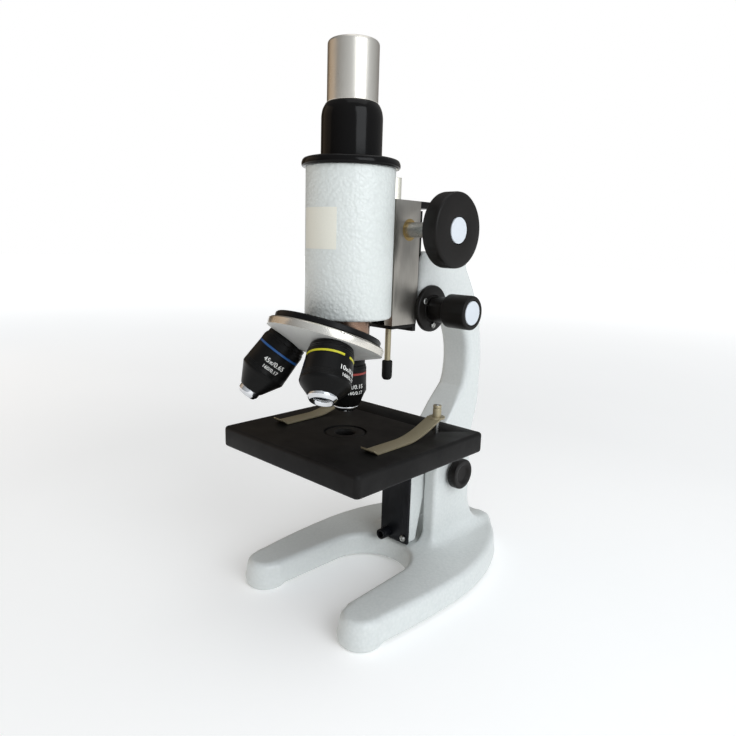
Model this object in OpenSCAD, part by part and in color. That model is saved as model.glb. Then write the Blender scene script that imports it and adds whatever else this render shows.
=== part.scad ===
// Monocular student microscope on a horseshoe foot.
// Millimetres, +Z up. The origin is on the table, straight below the inclination joint.
// -Y is the front, where the foot's toes and the specimen stage are.

/* [Foot] */
// Width of the horseshoe foot at its widest
foot_w = 118; // [98:1:142]
// Distance of the heel behind the inclination joint
heel_reach = 53.5; // [44:0.5:65]
// Height of the foot's legs
foot_h = 16.5; // [14:0.5:22]
// Height of the pads under the toes and the heel
pad_h = 2; // [1.5:0.5:3]
// Radius of each rounded toe
toe_r = 13; // [11:0.5:15]
// Distance of the toe centres in front of the optical axis
toe_reach = 26; // [18:1:40]
// Thickness of each cheek that holds the arm
cheek_t = 10; // [7:0.5:14]
// Depth of the cheeks from front to back
cheek_d = 39; // [34:1:46]

/* [Arm] */
// Height of the inclination joint above the table
joint_z = 62.5; // [52:0.5:75]
// Distance from the inclination joint forward to the optical axis
axis_reach = 80; // [68:1:96]
// Width of the arm casting
arm_w = 23; // [19:0.5:28]
// Diameter of the bolt that the arm tilts on
pivot_d = 8; // [6:0.5:10]

/* [Stage] */
// Width of the stage plate
stage_w = 110; // [95:1:132]
// Depth of the stage plate
stage_d = 106; // [90:1:127]
// Thickness of the stage plate
stage_t = 12; // [9:0.5:15]
// Height of the stage's upper face above the inclination joint
stage_up = 39; // [36:0.5:44]
// Diameter of the light hole in the stage insert
hole_d = 11; // [6:0.5:16]
// Distance of each clip post from the middle of the stage
post_x = 36.3; // [30:0.5:44]

/* [Tube] */
// Outer diameter of the body tube
tube_d = 48; // [40:1:56]
// Wall of the body tube
tube_wall = 1.6; // [1.2:0.1:3]
// Height of the body tube's lower end above the inclination joint
tube_up = 105.5; // [102:0.5:116]
// Length of the body tube
tube_len = 79; // [70:1:95]
// Diameter of the eyepiece barrel, a common optical standard
barrel_d = 23.2; // [22:0.1:25]
// Outer diameter of the black sleeve that holds the eyepiece
sleeve_d = 32.4; // [29:0.2:38]
// Outer diameter of the eyepiece above the sleeve
ocular_d = 26.8; // [25:0.2:30]
// Height of the eyepiece above the sleeve
ocular_h = 30; // [20:1:40]

/* [Nosepiece] */
// Forward tilt of the turret's axis
tilt = 21.6; // [18:0.1:25]
// Land between the objectives' holes and the turret's rim
turret_rim = 1.8; // [1.2:0.1:3]
// Radius of the objectives' mounting shank, a common optical standard
shank_r = 10.1; // [9.5:0.1:11]
// Height above the tube's lower end at which the turret's axis meets the optical axis
apex_up = 31.4; // [27:0.2:37]

/* [Focusing] */
// Diameter of each coarse focusing knob
coarse_d = 40.6; // [32:0.2:48]
// Thickness of each coarse focusing knob
coarse_t = 9.7; // [7:0.1:14]
// Diameter of each fine focusing knob
fine_d = 20; // [16:0.5:26]
// Diameter of the flanges around the fine focusing shaft
flange_d = 28.4; // [24:0.2:34]
// Diameter of the pinion shaft
pinion_d = 8.5; // [7:0.1:9]
// Module of the rack and pinion teeth
gear_m = 0.6; // [0.5:0.05:0.7]
// Number of pinion teeth
pinion_teeth = 16; // [16:1:17]

/* [Fits] */
// Radial clearance of shafts that turn
run_gap = 0.05; // [0.03:0.01:0.09]
// Clearance on each side of the sliding dovetails
slide_gap = 0.12; // [0.08:0.01:0.2]

/* [Hidden] */
$fn = 64;
axis_y = -axis_reach;
stage_z = joint_z + stage_up;
tube_z0 = joint_z + tube_up;
tube_z1 = tube_z0 + tube_len;

// Foot
waist_y = axis_y + 38.5;
toe_x = foot_w / 2 - 18;
toe_y = axis_y - toe_reach;
heel_len = heel_reach - waist_y;
front_len = 160;
pad_inset = 0.6;
mid_pad_r = 14;
inner_r = 25;
inner_y = axis_y + 21.5;
inner_toe = toe_x - toe_r + 0.3;
slot_half = arm_w / 2 + 0.3;
cheek_x = slot_half + cheek_t;

// Inclination joint
pivot_r = pivot_d / 2;
pivot_knob_r = 9.9;

// Stage and its fittings
stage_y = axis_y + 7;
stage_z0 = stage_z - stage_t;
stage_rear = stage_y + stage_d / 2;
insert_r = 12.6;
insert_t = 2.6;
post_y = axis_y + 38.6;
post_r = 1.35;
collar_r = 2.5;
collar_z0 = stage_z + 7.5;
collar_h = 9;
clip_t = 0.9;
clip_w = 9.5;
screw_x = arm_w / 2 - 5.5;
screw_ys = [axis_y + 28, axis_y + 42];
shelf_t = 6;
screw_land = 5;
iris_r = 20;
iris_arm = 13;
iris_y = axis_y - iris_arm;
iris_z = stage_z0 - 3.2;
iris_t = 2;

// Column front, mirror bracket and socket
tongue_y = -31;
bracket_t = 2;
bracket_y = tongue_y - bracket_t;
bracket_z0 = foot_h + 1;
bracket_z1 = joint_z + 9.5;
socket_x = -5.6;
socket_z = bracket_z0 + 3.8;
socket_r = 3.4;
socket_bore = 2.1;
socket_len = 7;
bracket_holes = [[8.1, bracket_z0 + 3.6], [0, bracket_z1 - 5]];

// Rack and pinion
block_y0 = axis_y + tube_d / 2 + 1.1;
slide_y0 = axis_y + tube_d / 2 - 1;
slide_tail = block_y0 + 7.06;
slide_neck = 4.6;
slide_mouth_x = 6.3;
slide_tail_x = 8.3;
pitch_r = gear_m * pinion_teeth / 2;
tooth_p = PI * gear_m;
rack_y = slide_tail + 0.9 * gear_m;
pinion_r = pinion_d / 2;
pinion_y = rack_y + pitch_r;
pinion_z = tube_z0 + 48.6;
tip_r = pitch_r + 0.8 * gear_m;
root_r = pitch_r - 0.9 * gear_m;
chamber_r = max(tip_r, pinion_r + 0.6) + 0.92;
slide_z0 = tube_z0 + 5;
slide_z1 = tube_z1 - 2;
slide_holes = [slide_z0 + 15, slide_z1 - 15];
rack_x = 4.4;
coarse_x = 35.7;

// Focusing block, its guide and the arm's head behind them
block_y1 = pinion_y + chamber_r + 3.2;
block_x = 11;
block_z0 = tube_z0 - 6;
block_z1 = tube_z0 + 65;
block_screws = [block_z0 + 12, block_z0 + 34];
guide_y = block_y1 + 2.9;
guide_x = 8;
head_y = guide_y + 0.5;
head_z0 = tube_z0 - 4.3;
head_z1 = tube_z0 + 36.4;
tongue_end = head_y + 3.1;
ledge_t = 3.7;
ledge_y = block_y1 + 14.1;
lip_t = 2;

// Fine focusing shaft
fine_y = head_y + 8.7;
fine_z = tube_z0 + 2.5;
fine_r = 3;
bush_r = 4.4;
roller_r = 4;
fine_x = 26;
fine_end = 42.9;
cap_t = 1.4;
coarse_cap_r = 7.1;

// Tube
tube_r = tube_d / 2;
bore_r = tube_r - tube_wall;
flange_t = 4.9;
sleeve_z0 = tube_z1 + flange_t;
sleeve_z1 = sleeve_z0 + 27.4;
barrel_r = barrel_d / 2;
stop_x = 4.3;
stop_r = 1.8;
stop_y = block_y0 + 2.8 + stop_r;
stop_tip_r = 3.1;
stop_tip_z = tube_z0 - 39.2;

// Turret: d is measured down its tilted axis from the point where it meets the optical axis
apex_z = tube_z0 + apex_up;
plate_d0 = tube_r * sin(tilt) + apex_up * cos(tilt) + 0.77;
plate_d1 = plate_d0 + 3.5;
disc_d0 = plate_d1 + 0.2;
disc_d1 = disc_d0 + 4.3;
hole_land = shank_r + turret_rim;
seat_l = (disc_d1 + hole_land * tan(tilt)) / cos(tilt);
shank_l = (plate_d1 + 0.3 + shank_r * sin(tilt)) / cos(tilt);
turret_r = seat_l * sin(tilt) + hole_land;
cone_r = 12;
cone_d = disc_d1 + (turret_r - cone_r) * tan(tilt);
neck_r = 12.4;
light_r = 9;
bolt_r = 3;

// Objectives: place on the turret, body radius, swell and where it is below the seat,
// body length below the seat, radius of the chromed tip, and its height
LOW = [0, 11.2, 0.3, 17.1, 26.2, 7, 2.8];
MID = [1, 12.3, 1, 19.8, 26.4, 7.6, 3];
HIGH = [-1, 12.3, 0.6, 22.1, 33.2, 6, 4.2];
tip_wall = 2.6;

function arc(cx, cy, r, a0, a1, n) =
    [for (i = [0:n]) let (a = a0 + (a1 - a0) * i / n) [cx + r * cos(a), cy + r * sin(a)]];
function oval(cx, cy, rx, ry, a0, a1, n) =
    [for (i = [0:n]) let (a = a0 + (a1 - a0) * i / n) [cx + rx * cos(a), cy + ry * sin(a)]];

// Lays a profile drawn in Y and Z as a plate of thickness w across X
module side_plate(w) {
    rotate([90, 0, 90]) linear_extrude(w, center = true) children();
}
// Cylinder along X from x0 to x1
module x_bar(x0, x1, r, y, z) {
    translate([x0, y, z]) rotate([0, 90, 0]) cylinder(x1 - x0, r = r);
}
// Cylinder along Y from y0 to y1
module y_bar(x, y0, y1, r, z) {
    translate([x, y1, z]) rotate([90, 0, 0]) cylinder(y1 - y0, r = r);
}
module both_sides() {
    children();
    mirror([1, 0, 0]) children();
}
// Puts the tilted axis's apex at the origin, pointing down the turret's axis
module on_turret() {
    translate([0, axis_y, apex_z]) rotate([180 - tilt, 0, 0]) children();
}
// Puts objective number k on its own line, measured from the apex
module on_objective(k) {
    on_turret() rotate([0, 0, 120 * k]) rotate([tilt, 0, 0]) children();
}
module box(x, y0, y1, z0, z1) {
    translate([-x, y0, z0]) cube([2 * x, y1 - y0, z1 - z0]);
}

// ---- Foot ----
module foot_plan(inset) {
    w = foot_w / 2 - inset;
    toe_a = asin((toe_y - waist_y) / front_len);
    difference() {
        union() {
            polygon(concat(oval(0, waist_y, w, front_len, toe_a, 0, 10),
                oval(0, waist_y, w, heel_len - inset, 0, 180, 60),
                oval(0, waist_y, w, front_len, 180, 180 - toe_a, 10)));
            for (s = [-1, 1]) translate([s * toe_x, toe_y]) circle(toe_r - inset);
        }
        polygon(concat([[inner_toe + inset, toe_y - 40]],
            arc(0, inner_y, inner_r + inset, 0, 180, 32),
            [[-inner_toe - inset, toe_y - 40]]));
    }
}
module foot_pads() {
    for (s = [-1, 1]) translate([s * toe_x, toe_y, 0]) cylinder(pad_h, r = toe_r - pad_inset);
    intersection() {
        linear_extrude(pad_h) foot_plan(pad_inset);
        translate([-foot_w, cheek_d / 2, 0]) cube([2 * foot_w, heel_len, pad_h]);
    }
    cylinder(pad_h, r = mid_pad_r);
}
module cheek_profile() {
    half = cheek_d / 2;
    foot_rear = heel_reach - 8;
    polygon(concat([[-half, foot_h - 3], [foot_rear, foot_h - 3]],
        oval(foot_rear, foot_h + 28, foot_rear - half, 28, 270, 180, 12),
        arc(0, joint_z, half, 0, 180, 32)));
}
module foot_casting() {
    color("gainsboro") difference() {
        union() {
            foot_pads();
            translate([0, 0, pad_h]) linear_extrude(foot_h * 0.66 - pad_h) foot_plan(0);
            translate([0, 0, foot_h * 0.66]) linear_extrude(foot_h * 0.2) foot_plan(1.2);
            translate([0, 0, foot_h * 0.86]) linear_extrude(foot_h * 0.14) foot_plan(2.6);
            both_sides() translate([slot_half + cheek_t / 2, 0, 0])
                side_plate(cheek_t) cheek_profile();
        }
        x_bar(-foot_w, foot_w, pivot_r + run_gap, 0, joint_z);
    }
}
module pivot_bolt() {
    color("silver") x_bar(-cheek_x - 6, cheek_x + 6, pivot_r, 0, joint_z);
}
module pivot_knobs() {
    color("black") both_sides() difference() {
        union() {
            x_bar(cheek_x, cheek_x + 2, 6.5, 0, joint_z);
            x_bar(cheek_x + 2, cheek_x + 8, pivot_knob_r, 0, joint_z);
        }
        x_bar(cheek_x - 1, cheek_x + 6, pivot_r, 0, joint_z);
    }
}

// ---- Arm ----
// Inner curve of the arm above the stage, then the head, the back and the hub
function arm_front() = concat(
    [[tongue_y, bracket_z0 + 0.5], [tongue_y, bracket_z1 + 0.5],
     [axis_y + 22, stage_z0 - shelf_t], [axis_y + 22, stage_z0], [stage_rear + 12, stage_z0]],
    arc(stage_rear + 12, stage_z + 15, 27, 270, 292, 4),
    oval(-1, joint_z + 69, 25.5, 36, -28, 40, 10),
    arc(10, head_z0 - 8, 8, 40, 90, 4));
function arm_head() = concat([[head_y + 2, head_z0], [head_y, head_z0 + 2]],
    arc(head_y + 6, head_z1 - 6, 6, 180, 90, 6), arc(12, head_z1 - 8, 8, 90, 50, 4));
function arm_back() = concat(
    arc(-69, joint_z + 63.5, 111.3, 38, -18, 24),
    arc(13, joint_z + 21.5, 22, -35, -70, 5), arc(0, joint_z, 18, 10, -90, 12),
    [[-18, joint_z - 18], [-24, bracket_z0 + 0.5]]);
module arm_profile() {
    polygon(concat(arm_front(), arm_head(), arm_back()));
}
module dovetail(mouth, tail, y0, y1, gap) {
    polygon([[-mouth - gap, y0], [mouth + gap, y0], [tail + gap, y1 + gap],
        [-tail - gap, y1 + gap]]);
}
module arm_casting() {
    color("lightgray") difference() {
        side_plate(arm_w) arm_profile();
        x_bar(-arm_w, arm_w, pivot_r + run_gap, 0, joint_z);
        x_bar(-arm_w, arm_w, bush_r, fine_y, fine_z);
        translate([0, 0, head_z0 - 1]) linear_extrude(head_z1 - head_z0 + 2)
            dovetail(5.2, 7.2, head_y - 1, tongue_end, slide_gap);
        box(3.4, tongue_end - 1, fine_y + 5, fine_z - 5.5, fine_z + 13);
        for (y = screw_ys, s = [-1, 1]) translate([s * screw_x, y, stage_z0 - screw_land]) {
            cylinder(screw_land + 1, r = 2);
            translate([0, 0, -30]) cylinder(30, r = 4.1);
        }
        for (p = bracket_holes) y_bar(p[0], tongue_y - 1, tongue_y + 6, 1.5, p[1]);
    }
}
module stage_plate() {
    corner = 3;
    color("dimgray") difference() {
        translate([-stage_w / 2, stage_y - stage_d / 2, stage_z0]) union() {
            translate([corner, 0, 0]) cube([stage_w - 2 * corner, stage_d, stage_t]);
            translate([0, corner, 0]) cube([stage_w, stage_d - 2 * corner, stage_t]);
            for (x = [corner, stage_w - corner], y = [corner, stage_d - corner])
                translate([x, y, 0]) cylinder(stage_t, r = corner);
        }
        translate([0, axis_y, stage_z - insert_t - 0.4]) cylinder(insert_t + 1, r = insert_r);
        translate([0, axis_y, stage_z0 - 1]) cylinder(stage_t + 2, r = 8);
        for (y = screw_ys, s = [-1, 1])
            translate([s * screw_x, y, stage_z0 - 1]) cylinder(8, r = 2);
        for (s = [-1, 1]) translate([s * post_x, post_y, stage_z - 7]) cylinder(8, r = post_r);
        translate([0, iris_y, stage_z0 - 1]) cylinder(7, r = 1.5);
    }
}
module stage_insert() {
    color("darkslategray") translate([0, axis_y, stage_z - insert_t - 0.4]) difference() {
        cylinder(insert_t, r = insert_r);
        translate([0, 0, -1]) cylinder(insert_t + 2, r = hole_d / 2);
    }
}
module stage_screws() {
    color("silver") for (y = screw_ys, s = [-1, 1])
        translate([s * screw_x, y, stage_z0 - screw_land]) {
            cylinder(screw_land + 6, r = 2);
            translate([0, 0, -2.5]) cylinder(2.5, r = 3.6);
        }
}
module clip_posts() {
    color("silver") for (s = [-1, 1]) translate([s * post_x, post_y, stage_z - 7])
        cylinder(7 + 16.8, r = post_r);
}
module clip_collar(x) {
    color("tan") translate([x, post_y, collar_z0]) difference() {
        cylinder(collar_h, r = collar_r);
        translate([0, 0, -1]) cylinder(collar_h + 2, r = post_r + run_gap);
    }
}
// Spring strip: flat on the stage, curving up to its collar, with a raised tip
module clip_strip(x) {
    lift = 0.3;
    top = collar_z0 + 1.2;
    rise = top - stage_z - lift;
    bend_y = post_y - collar_r;
    start = bend_y - 30;
    tip = axis_y - 18.5;
    steps = 12;
    low = [for (i = [0:steps]) let (t = i / steps)
        [start + 30 * t, stage_z + lift + rise * (1 - cos(90 * t))]];
    under = concat([[tip - 1.2, stage_z + lift + 2.2], [tip + 2, stage_z + lift]], low);
    over = [for (i = [len(under) - 1:-1:0]) under[i] + [0, clip_t]];
    color("tan") difference() {
        translate([x, 0, 0]) union() {
            side_plate(clip_w) polygon(concat(under, over));
            translate([0, post_y, top]) cylinder(clip_t, r = clip_w / 2);
        }
        translate([x, post_y, stage_z]) cylinder(40, r = collar_r);
    }
}
module diaphragm_disc() {
    color("black") translate([0, iris_y, iris_z]) difference() {
        cylinder(iris_t, r = iris_r);
        translate([0, 0, -1]) cylinder(iris_t + 2, r = 2 + run_gap);
        for (i = [0:4]) rotate([0, 0, 90 + 72 * i])
            translate([iris_arm, 0, -1]) cylinder(iris_t + 2, r = 5 - i);
    }
}
module diaphragm_screw() {
    color("silver") translate([0, iris_y, 0]) {
        translate([0, 0, iris_z - 2.2]) cylinder(2, r = 4);
        translate([0, 0, iris_z - 0.2]) cylinder(stage_z0 - iris_z + 0.2, r = 2);
        translate([0, 0, stage_z0]) cylinder(5, r = 1.5);
    }
}

// ---- Mirror bracket on the front of the column ----
module mirror_bracket() {
    color("black") difference() {
        box(arm_w / 2 - 0.2, bracket_y, tongue_y, bracket_z0, bracket_z1);
        for (p = bracket_holes) y_bar(p[0], bracket_y - 1, tongue_y + 1, 1.5, p[1]);
    }
}
module bracket_screws() {
    color("silver") for (p = bracket_holes) {
        y_bar(p[0], bracket_y, tongue_y + 5, 1.5, p[1]);
        y_bar(p[0], bracket_y - 1.4, bracket_y, 2.1, p[1]);
    }
}
module mirror_socket() {
    color("black") difference() {
        y_bar(socket_x, bracket_y - socket_len, bracket_y, socket_r, socket_z);
        y_bar(socket_x, bracket_y - socket_len - 1, bracket_y - 1, socket_bore, socket_z);
    }
}

// ---- Fine focusing ----
module fine_flanges() {
    color("black") both_sides() difference() {
        x_bar(arm_w / 2, arm_w / 2 + 3, flange_d / 2, fine_y, fine_z);
        x_bar(arm_w / 2 - 1, arm_w / 2 + 4, fine_r + 0.3, fine_y, fine_z);
        for (a = [30, 150, 270]) translate([0, 10 * cos(a), 10 * sin(a)])
            x_bar(arm_w / 2 - 1, arm_w / 2 + 4, 1, fine_y, fine_z);
    }
}
module flange_screws() {
    color("silver") both_sides() for (a = [30, 150, 270])
        translate([0, 10 * cos(a), 10 * sin(a)]) {
            x_bar(arm_w / 2, arm_w / 2 + 3, 1, fine_y, fine_z);
            x_bar(arm_w / 2 + 3, arm_w / 2 + 4, 1.8, fine_y, fine_z);
        }
}
module fine_bushes() {
    color("goldenrod") both_sides() difference() {
        x_bar(4.5, arm_w / 2, bush_r, fine_y, fine_z);
        x_bar(4, arm_w / 2 + 1, fine_r + run_gap, fine_y, fine_z);
    }
}
module fine_shaft() {
    color("silver") {
        x_bar(-fine_end + 4, fine_end - 4, fine_r, fine_y, fine_z);
        x_bar(-3, 3, roller_r, fine_y, fine_z);
    }
}
module fine_knobs() {
    color("black") both_sides() difference() {
        union() {
            x_bar(arm_w / 2 + 4.4, fine_x, fine_d * 0.39, fine_y, fine_z);
            x_bar(fine_x, fine_end - 1, fine_d / 2, fine_y, fine_z);
            x_bar(fine_end - 1, fine_end, fine_d / 2 - 1, fine_y, fine_z);
        }
        x_bar(arm_w / 2 + 4, fine_end - 4, fine_r, fine_y, fine_z);
        x_bar(fine_end + 0.2 - cap_t, fine_end + 1, fine_d * 0.355, fine_y, fine_z);
    }
}
module fine_caps() {
    color("white") both_sides()
        x_bar(fine_end + 0.2 - cap_t, fine_end + 0.2, fine_d * 0.355, fine_y, fine_z);
}

// ---- Focusing block, carried by the fine slide ----
module focus_block() {
    color("silver") difference() {
        box(block_x, block_y0, block_y1, block_z0, block_z1);
        translate([0, 0, block_z0 - 1]) linear_extrude(block_z1 - block_z0 + 2) {
            translate([-slide_neck - 0.4, block_y0 - 1]) square([2 * slide_neck + 0.8, 3.6]);
            dovetail(slide_mouth_x, slide_tail_x, block_y0 + 2.4, slide_tail, slide_gap);
            translate([-rack_x - 0.5, slide_tail - 0.1])
                square([2 * rack_x + 1, 2.1 * gear_m + 0.5]);
        }
        x_bar(-block_x - 1, block_x + 1, chamber_r, pinion_y, pinion_z);
        for (z = block_screws) y_bar(0, block_y1 - 8, block_y1 + 1, 1.5, z);
    }
}
module guide_plate() {
    color("black") difference() {
        union() {
            box(guide_x, block_y1, guide_y, block_z0 - lip_t, block_z1);
            box(block_x, block_y1, ledge_y, block_z1 - ledge_t, block_z1);
            box(block_x - 0.3, block_y0, block_y1, block_z0 - lip_t, block_z0);
            box(block_x - 0.3, block_y1 - 3, block_y1, block_z0 - 4.5, block_z0);
            translate([0, 0, block_z0 + 3]) linear_extrude(block_z1 - block_z0 - 8)
                dovetail(5.2, 7.2, guide_y - 0.5, tongue_end, 0);
            box(2.8, tongue_end - 0.5, fine_y + 3, fine_z + 5.3, fine_z + 9);
        }
        translate([stop_x, stop_y, block_z0 - 8]) cylinder(9, r = stop_r + 0.3);
        for (z = block_screws) {
            y_bar(0, block_y1 - 1, tongue_end + 1, 1.5, z);
            y_bar(0, guide_y, tongue_end + 1, 3, z);
        }
    }
}
module guide_screws() {
    color("silver") for (z = block_screws) {
        y_bar(0, block_y1 - 7, guide_y, 1.5, z);
        y_bar(0, guide_y, guide_y + 2.4, 2.8, z);
    }
}
module pinion_bushes() {
    color("goldenrod") both_sides() difference() {
        x_bar(slide_tail_x + 0.4, block_x, chamber_r, pinion_y, pinion_z);
        x_bar(slide_tail_x, block_x + 1, pinion_r + run_gap, pinion_y, pinion_z);
    }
}

// ---- Coarse focusing ----
module pinion_tooth() {
    half_root = 0.3 * tooth_p;
    half_tip = 0.1 * tooth_p;
    polygon([[root_r - 0.6, -half_root], [root_r, -half_root], [tip_r, -half_tip],
        [tip_r, half_tip], [root_r, half_root], [root_r - 0.6, half_root]]);
}
module pinion_shaft() {
    color("silver") {
        both_sides() x_bar(4.6, coarse_x + coarse_t - 3, pinion_r, pinion_y, pinion_z);
        translate([-4.6, pinion_y, pinion_z]) rotate([0, 90, 0]) linear_extrude(9.2) {
            circle(root_r);
            for (i = [0:pinion_teeth - 1]) rotate(270 + 360 * i / pinion_teeth) pinion_tooth();
        }
    }
}
module coarse_knobs() {
    r = coarse_d / 2;
    end = coarse_x + coarse_t + 0.2;
    color("black") both_sides() difference() {
        union() {
            x_bar(coarse_x - 1.5, coarse_x, 7, pinion_y, pinion_z);
            x_bar(coarse_x, coarse_x + coarse_t - 1, r, pinion_y, pinion_z);
            x_bar(coarse_x + coarse_t - 1, coarse_x + coarse_t, r - 0.9, pinion_y, pinion_z);
        }
        x_bar(coarse_x - 2, coarse_x + coarse_t - 3, pinion_r, pinion_y, pinion_z);
        x_bar(end - cap_t, end + 1, coarse_cap_r, pinion_y, pinion_z);
    }
}
module coarse_caps() {
    end = coarse_x + coarse_t + 0.2;
    color("white") both_sides()
        x_bar(end - cap_t, end, coarse_cap_r, pinion_y, pinion_z);
}

// ---- Body tube and what moves with it ----
module body_tube() {
    color("whitesmoke") difference() {
        translate([0, axis_y, tube_z0]) difference() {
            cylinder(tube_z1 - tube_z0, r = tube_r);
            translate([0, 0, 3]) cylinder(tube_z1 - tube_z0, r = bore_r);
            translate([0, 0, -1]) cylinder(5, r = neck_r - 1.4);
        }
        for (z = slide_holes) y_bar(0, axis_y, axis_y + tube_r + 1, 1.5, z);
    }
}
module rack_tooth() {
    half_root = 0.29 * tooth_p;
    half_tip = 0.1 * tooth_p;
    polygon([[slide_tail - 0.2, -half_root], [slide_tail, -half_root],
        [rack_y + 0.7 * gear_m, -half_tip], [rack_y + 0.7 * gear_m, half_tip],
        [slide_tail, half_root], [slide_tail - 0.2, half_root]]);
}
module tube_slide() {
    low = ceil((slide_z0 + 1.5 - pinion_z) / tooth_p - 0.5);
    high = floor((slide_z1 - 1.5 - pinion_z) / tooth_p - 0.5);
    color("darkkhaki") difference() {
        union() {
            translate([0, 0, slide_z0]) linear_extrude(slide_z1 - slide_z0) {
                translate([-slide_neck, slide_y0])
                    square([2 * slide_neck, block_y0 + 2.5 - slide_y0]);
                dovetail(slide_mouth_x, slide_tail_x, block_y0 + 2.4, slide_tail, 0);
            }
            for (k = [low:high]) translate([0, 0, pinion_z + (k + 0.5) * tooth_p])
                side_plate(2 * rack_x) rack_tooth();
        }
        translate([0, axis_y, tube_z0]) cylinder(tube_z1, r = tube_r);
        for (z = slide_holes) y_bar(0, axis_y + tube_r - 1, axis_y + tube_r + 6, 1.5, z);
        translate([stop_x, stop_y, slide_z0 - 1]) cylinder(7, r = stop_r);
    }
}
module slide_screws() {
    color("silver") for (z = slide_holes) {
        y_bar(0, axis_y + bore_r - 0.6, axis_y + tube_r + 5, 1.5, z);
        y_bar(0, axis_y + bore_r - 2, axis_y + bore_r - 0.4, 2.8, z);
    }
}
module flange_ring() {
    r = tube_r + 2.4;
    color("black") translate([0, axis_y, tube_z1]) difference() {
        union() {
            translate([0, 0, -4]) cylinder(4, r = bore_r);
            cylinder(1, r1 = r - 0.9, r2 = r, $fn = 96);
            translate([0, 0, 1]) cylinder(2.4, r = r);
            translate([0, 0, 3.4]) cylinder(flange_t - 3.4, r1 = r, r2 = r - 1.8, $fn = 96);
        }
        translate([0, 0, -5]) cylinder(12, r = barrel_r + 2.2);
    }
}
module eyepiece_sleeve() {
    r = sleeve_d / 2;
    h = sleeve_z1 - sleeve_z0;
    top_r = ocular_d / 2 + 0.2;
    color("black") translate([0, axis_y, sleeve_z0]) difference() {
        rotate_extrude($fn = 96)
            polygon(concat([[0, -4.5], [barrel_r + 2.2, -4.5], [barrel_r + 2.2, 0], [r, 0]],
                oval(top_r, h - 6, r - top_r, 6, 0, 90, 10), [[0, h]]));
        translate([0, 0, -5]) cylinder(h + 6, r = barrel_r + run_gap);
    }
}
module stop_rod() {
    color("darkkhaki") translate([stop_x, stop_y, stop_tip_z + 6])
        cylinder(slide_z0 + 6 - stop_tip_z - 6, r = stop_r);
}
module stop_tip() {
    color("black") translate([stop_x, stop_y, stop_tip_z]) difference() {
        union() {
            translate([0, 0, stop_tip_r]) cylinder(12 - stop_tip_r, r = stop_tip_r);
            translate([0, 0, stop_tip_r]) sphere(stop_tip_r);
        }
        translate([0, 0, 6]) cylinder(8, r = stop_r);
    }
}
module nosepiece_neck() {
    color("tan") difference() {
        union() {
            translate([0, axis_y, tube_z0 - 22]) cylinder(22, r = neck_r);
            translate([0, axis_y, tube_z0]) cylinder(3, r = neck_r - 1.4);
        }
        on_turret() translate([-50, -50, plate_d0]) cube([100, 100, 60]);
        translate([0, axis_y, tube_z0 - 30]) cylinder(50, r = light_r);
    }
}
module nosepiece_plate() {
    color("black") difference() {
        on_turret() translate([0, 0, plate_d0]) cylinder(plate_d1 - plate_d0, r = turret_r - 2.7);
        translate([0, axis_y, tube_z0 - 30]) cylinder(50, r = light_r);
        on_turret() translate([0, 0, plate_d0 - 1]) cylinder(6, r = bolt_r);
    }
}
module turret_bolt() {
    color("silver") on_turret() {
        translate([0, 0, plate_d0]) cylinder(cone_d + 0.2 - plate_d0, r = bolt_r);
        translate([0, 0, cone_d + 0.2]) cylinder(2.4, r = 6.5);
    }
}

// ---- Turret and objectives ----
module turret_disc() {
    color("silver") difference() {
        on_turret() translate([0, 0, disc_d0]) rotate_extrude($fn = 96)
            polygon([[0, 0], [turret_r - 0.8, 0], [turret_r, 0.8], [turret_r, disc_d1 - disc_d0],
                [cone_r, cone_d - disc_d0], [0, cone_d - disc_d0]]);
        on_turret() translate([0, 0, disc_d0 - 1]) cylinder(30, r = bolt_r + run_gap);
        for (k = [0:2]) {
            on_objective(k) translate([0, 0, 35]) cylinder(30, r = shank_r);
            on_turret() rotate([0, 0, 120 * k + 60])
                translate([0, turret_r + 0.6, disc_d0 - 1]) cylinder(2.6, r = 1.3);
        }
    }
}
// Barrel of an objective: shank, shoulder, body with its swell, and the lower cone
module objective(p) {
    body_r = p[1];
    swell_r = body_r + p[2];
    swell_l = seat_l + p[3];
    end_l = seat_l + p[4];
    tip_r = p[5];
    color("black") on_objective(p[0]) difference() {
        rotate_extrude($fn = 72)
            polygon([[0, shank_l], [shank_r, shank_l], [shank_r, seat_l],
                [body_r - 0.9, seat_l], [body_r - 0.9, seat_l + 2.2], [body_r, seat_l + 3.2],
                [body_r, seat_l + 8], [swell_r, swell_l - 4], [swell_r, swell_l],
                [swell_r - 0.8, swell_l + 1.6], [tip_r + 0.6, end_l], [0, end_l]]);
        translate([0, 0, seat_l - 7]) cylinder(p[4] + 4, r = shank_r - 2.6);
        translate([0, 0, end_l - 4]) cylinder(6, r = tip_r - 1.6);
    }
}
module objective_tips() {
    color("silver") for (p = [LOW, MID, HIGH])
        on_objective(p[0]) translate([0, 0, seat_l + p[4]]) difference() {
            union() {
                translate([0, 0, -3]) cylinder(3, r = p[5] - 1.6);
                cylinder(p[6] - 1.6, r = p[5]);
                translate([0, 0, p[6] - 1.6]) cylinder(1.6, r1 = p[5], r2 = p[5] - 1.5);
            }
            translate([0, 0, -4]) cylinder(p[6] + 6, r = p[5] - tip_wall);
        }
}
module objective_lenses() {
    color("lightblue") for (p = [LOW, MID, HIGH])
        on_objective(p[0]) translate([0, 0, seat_l + p[4] + p[6] - 2.6])
            cylinder(1.6, r = p[5] - tip_wall);
}

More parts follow.
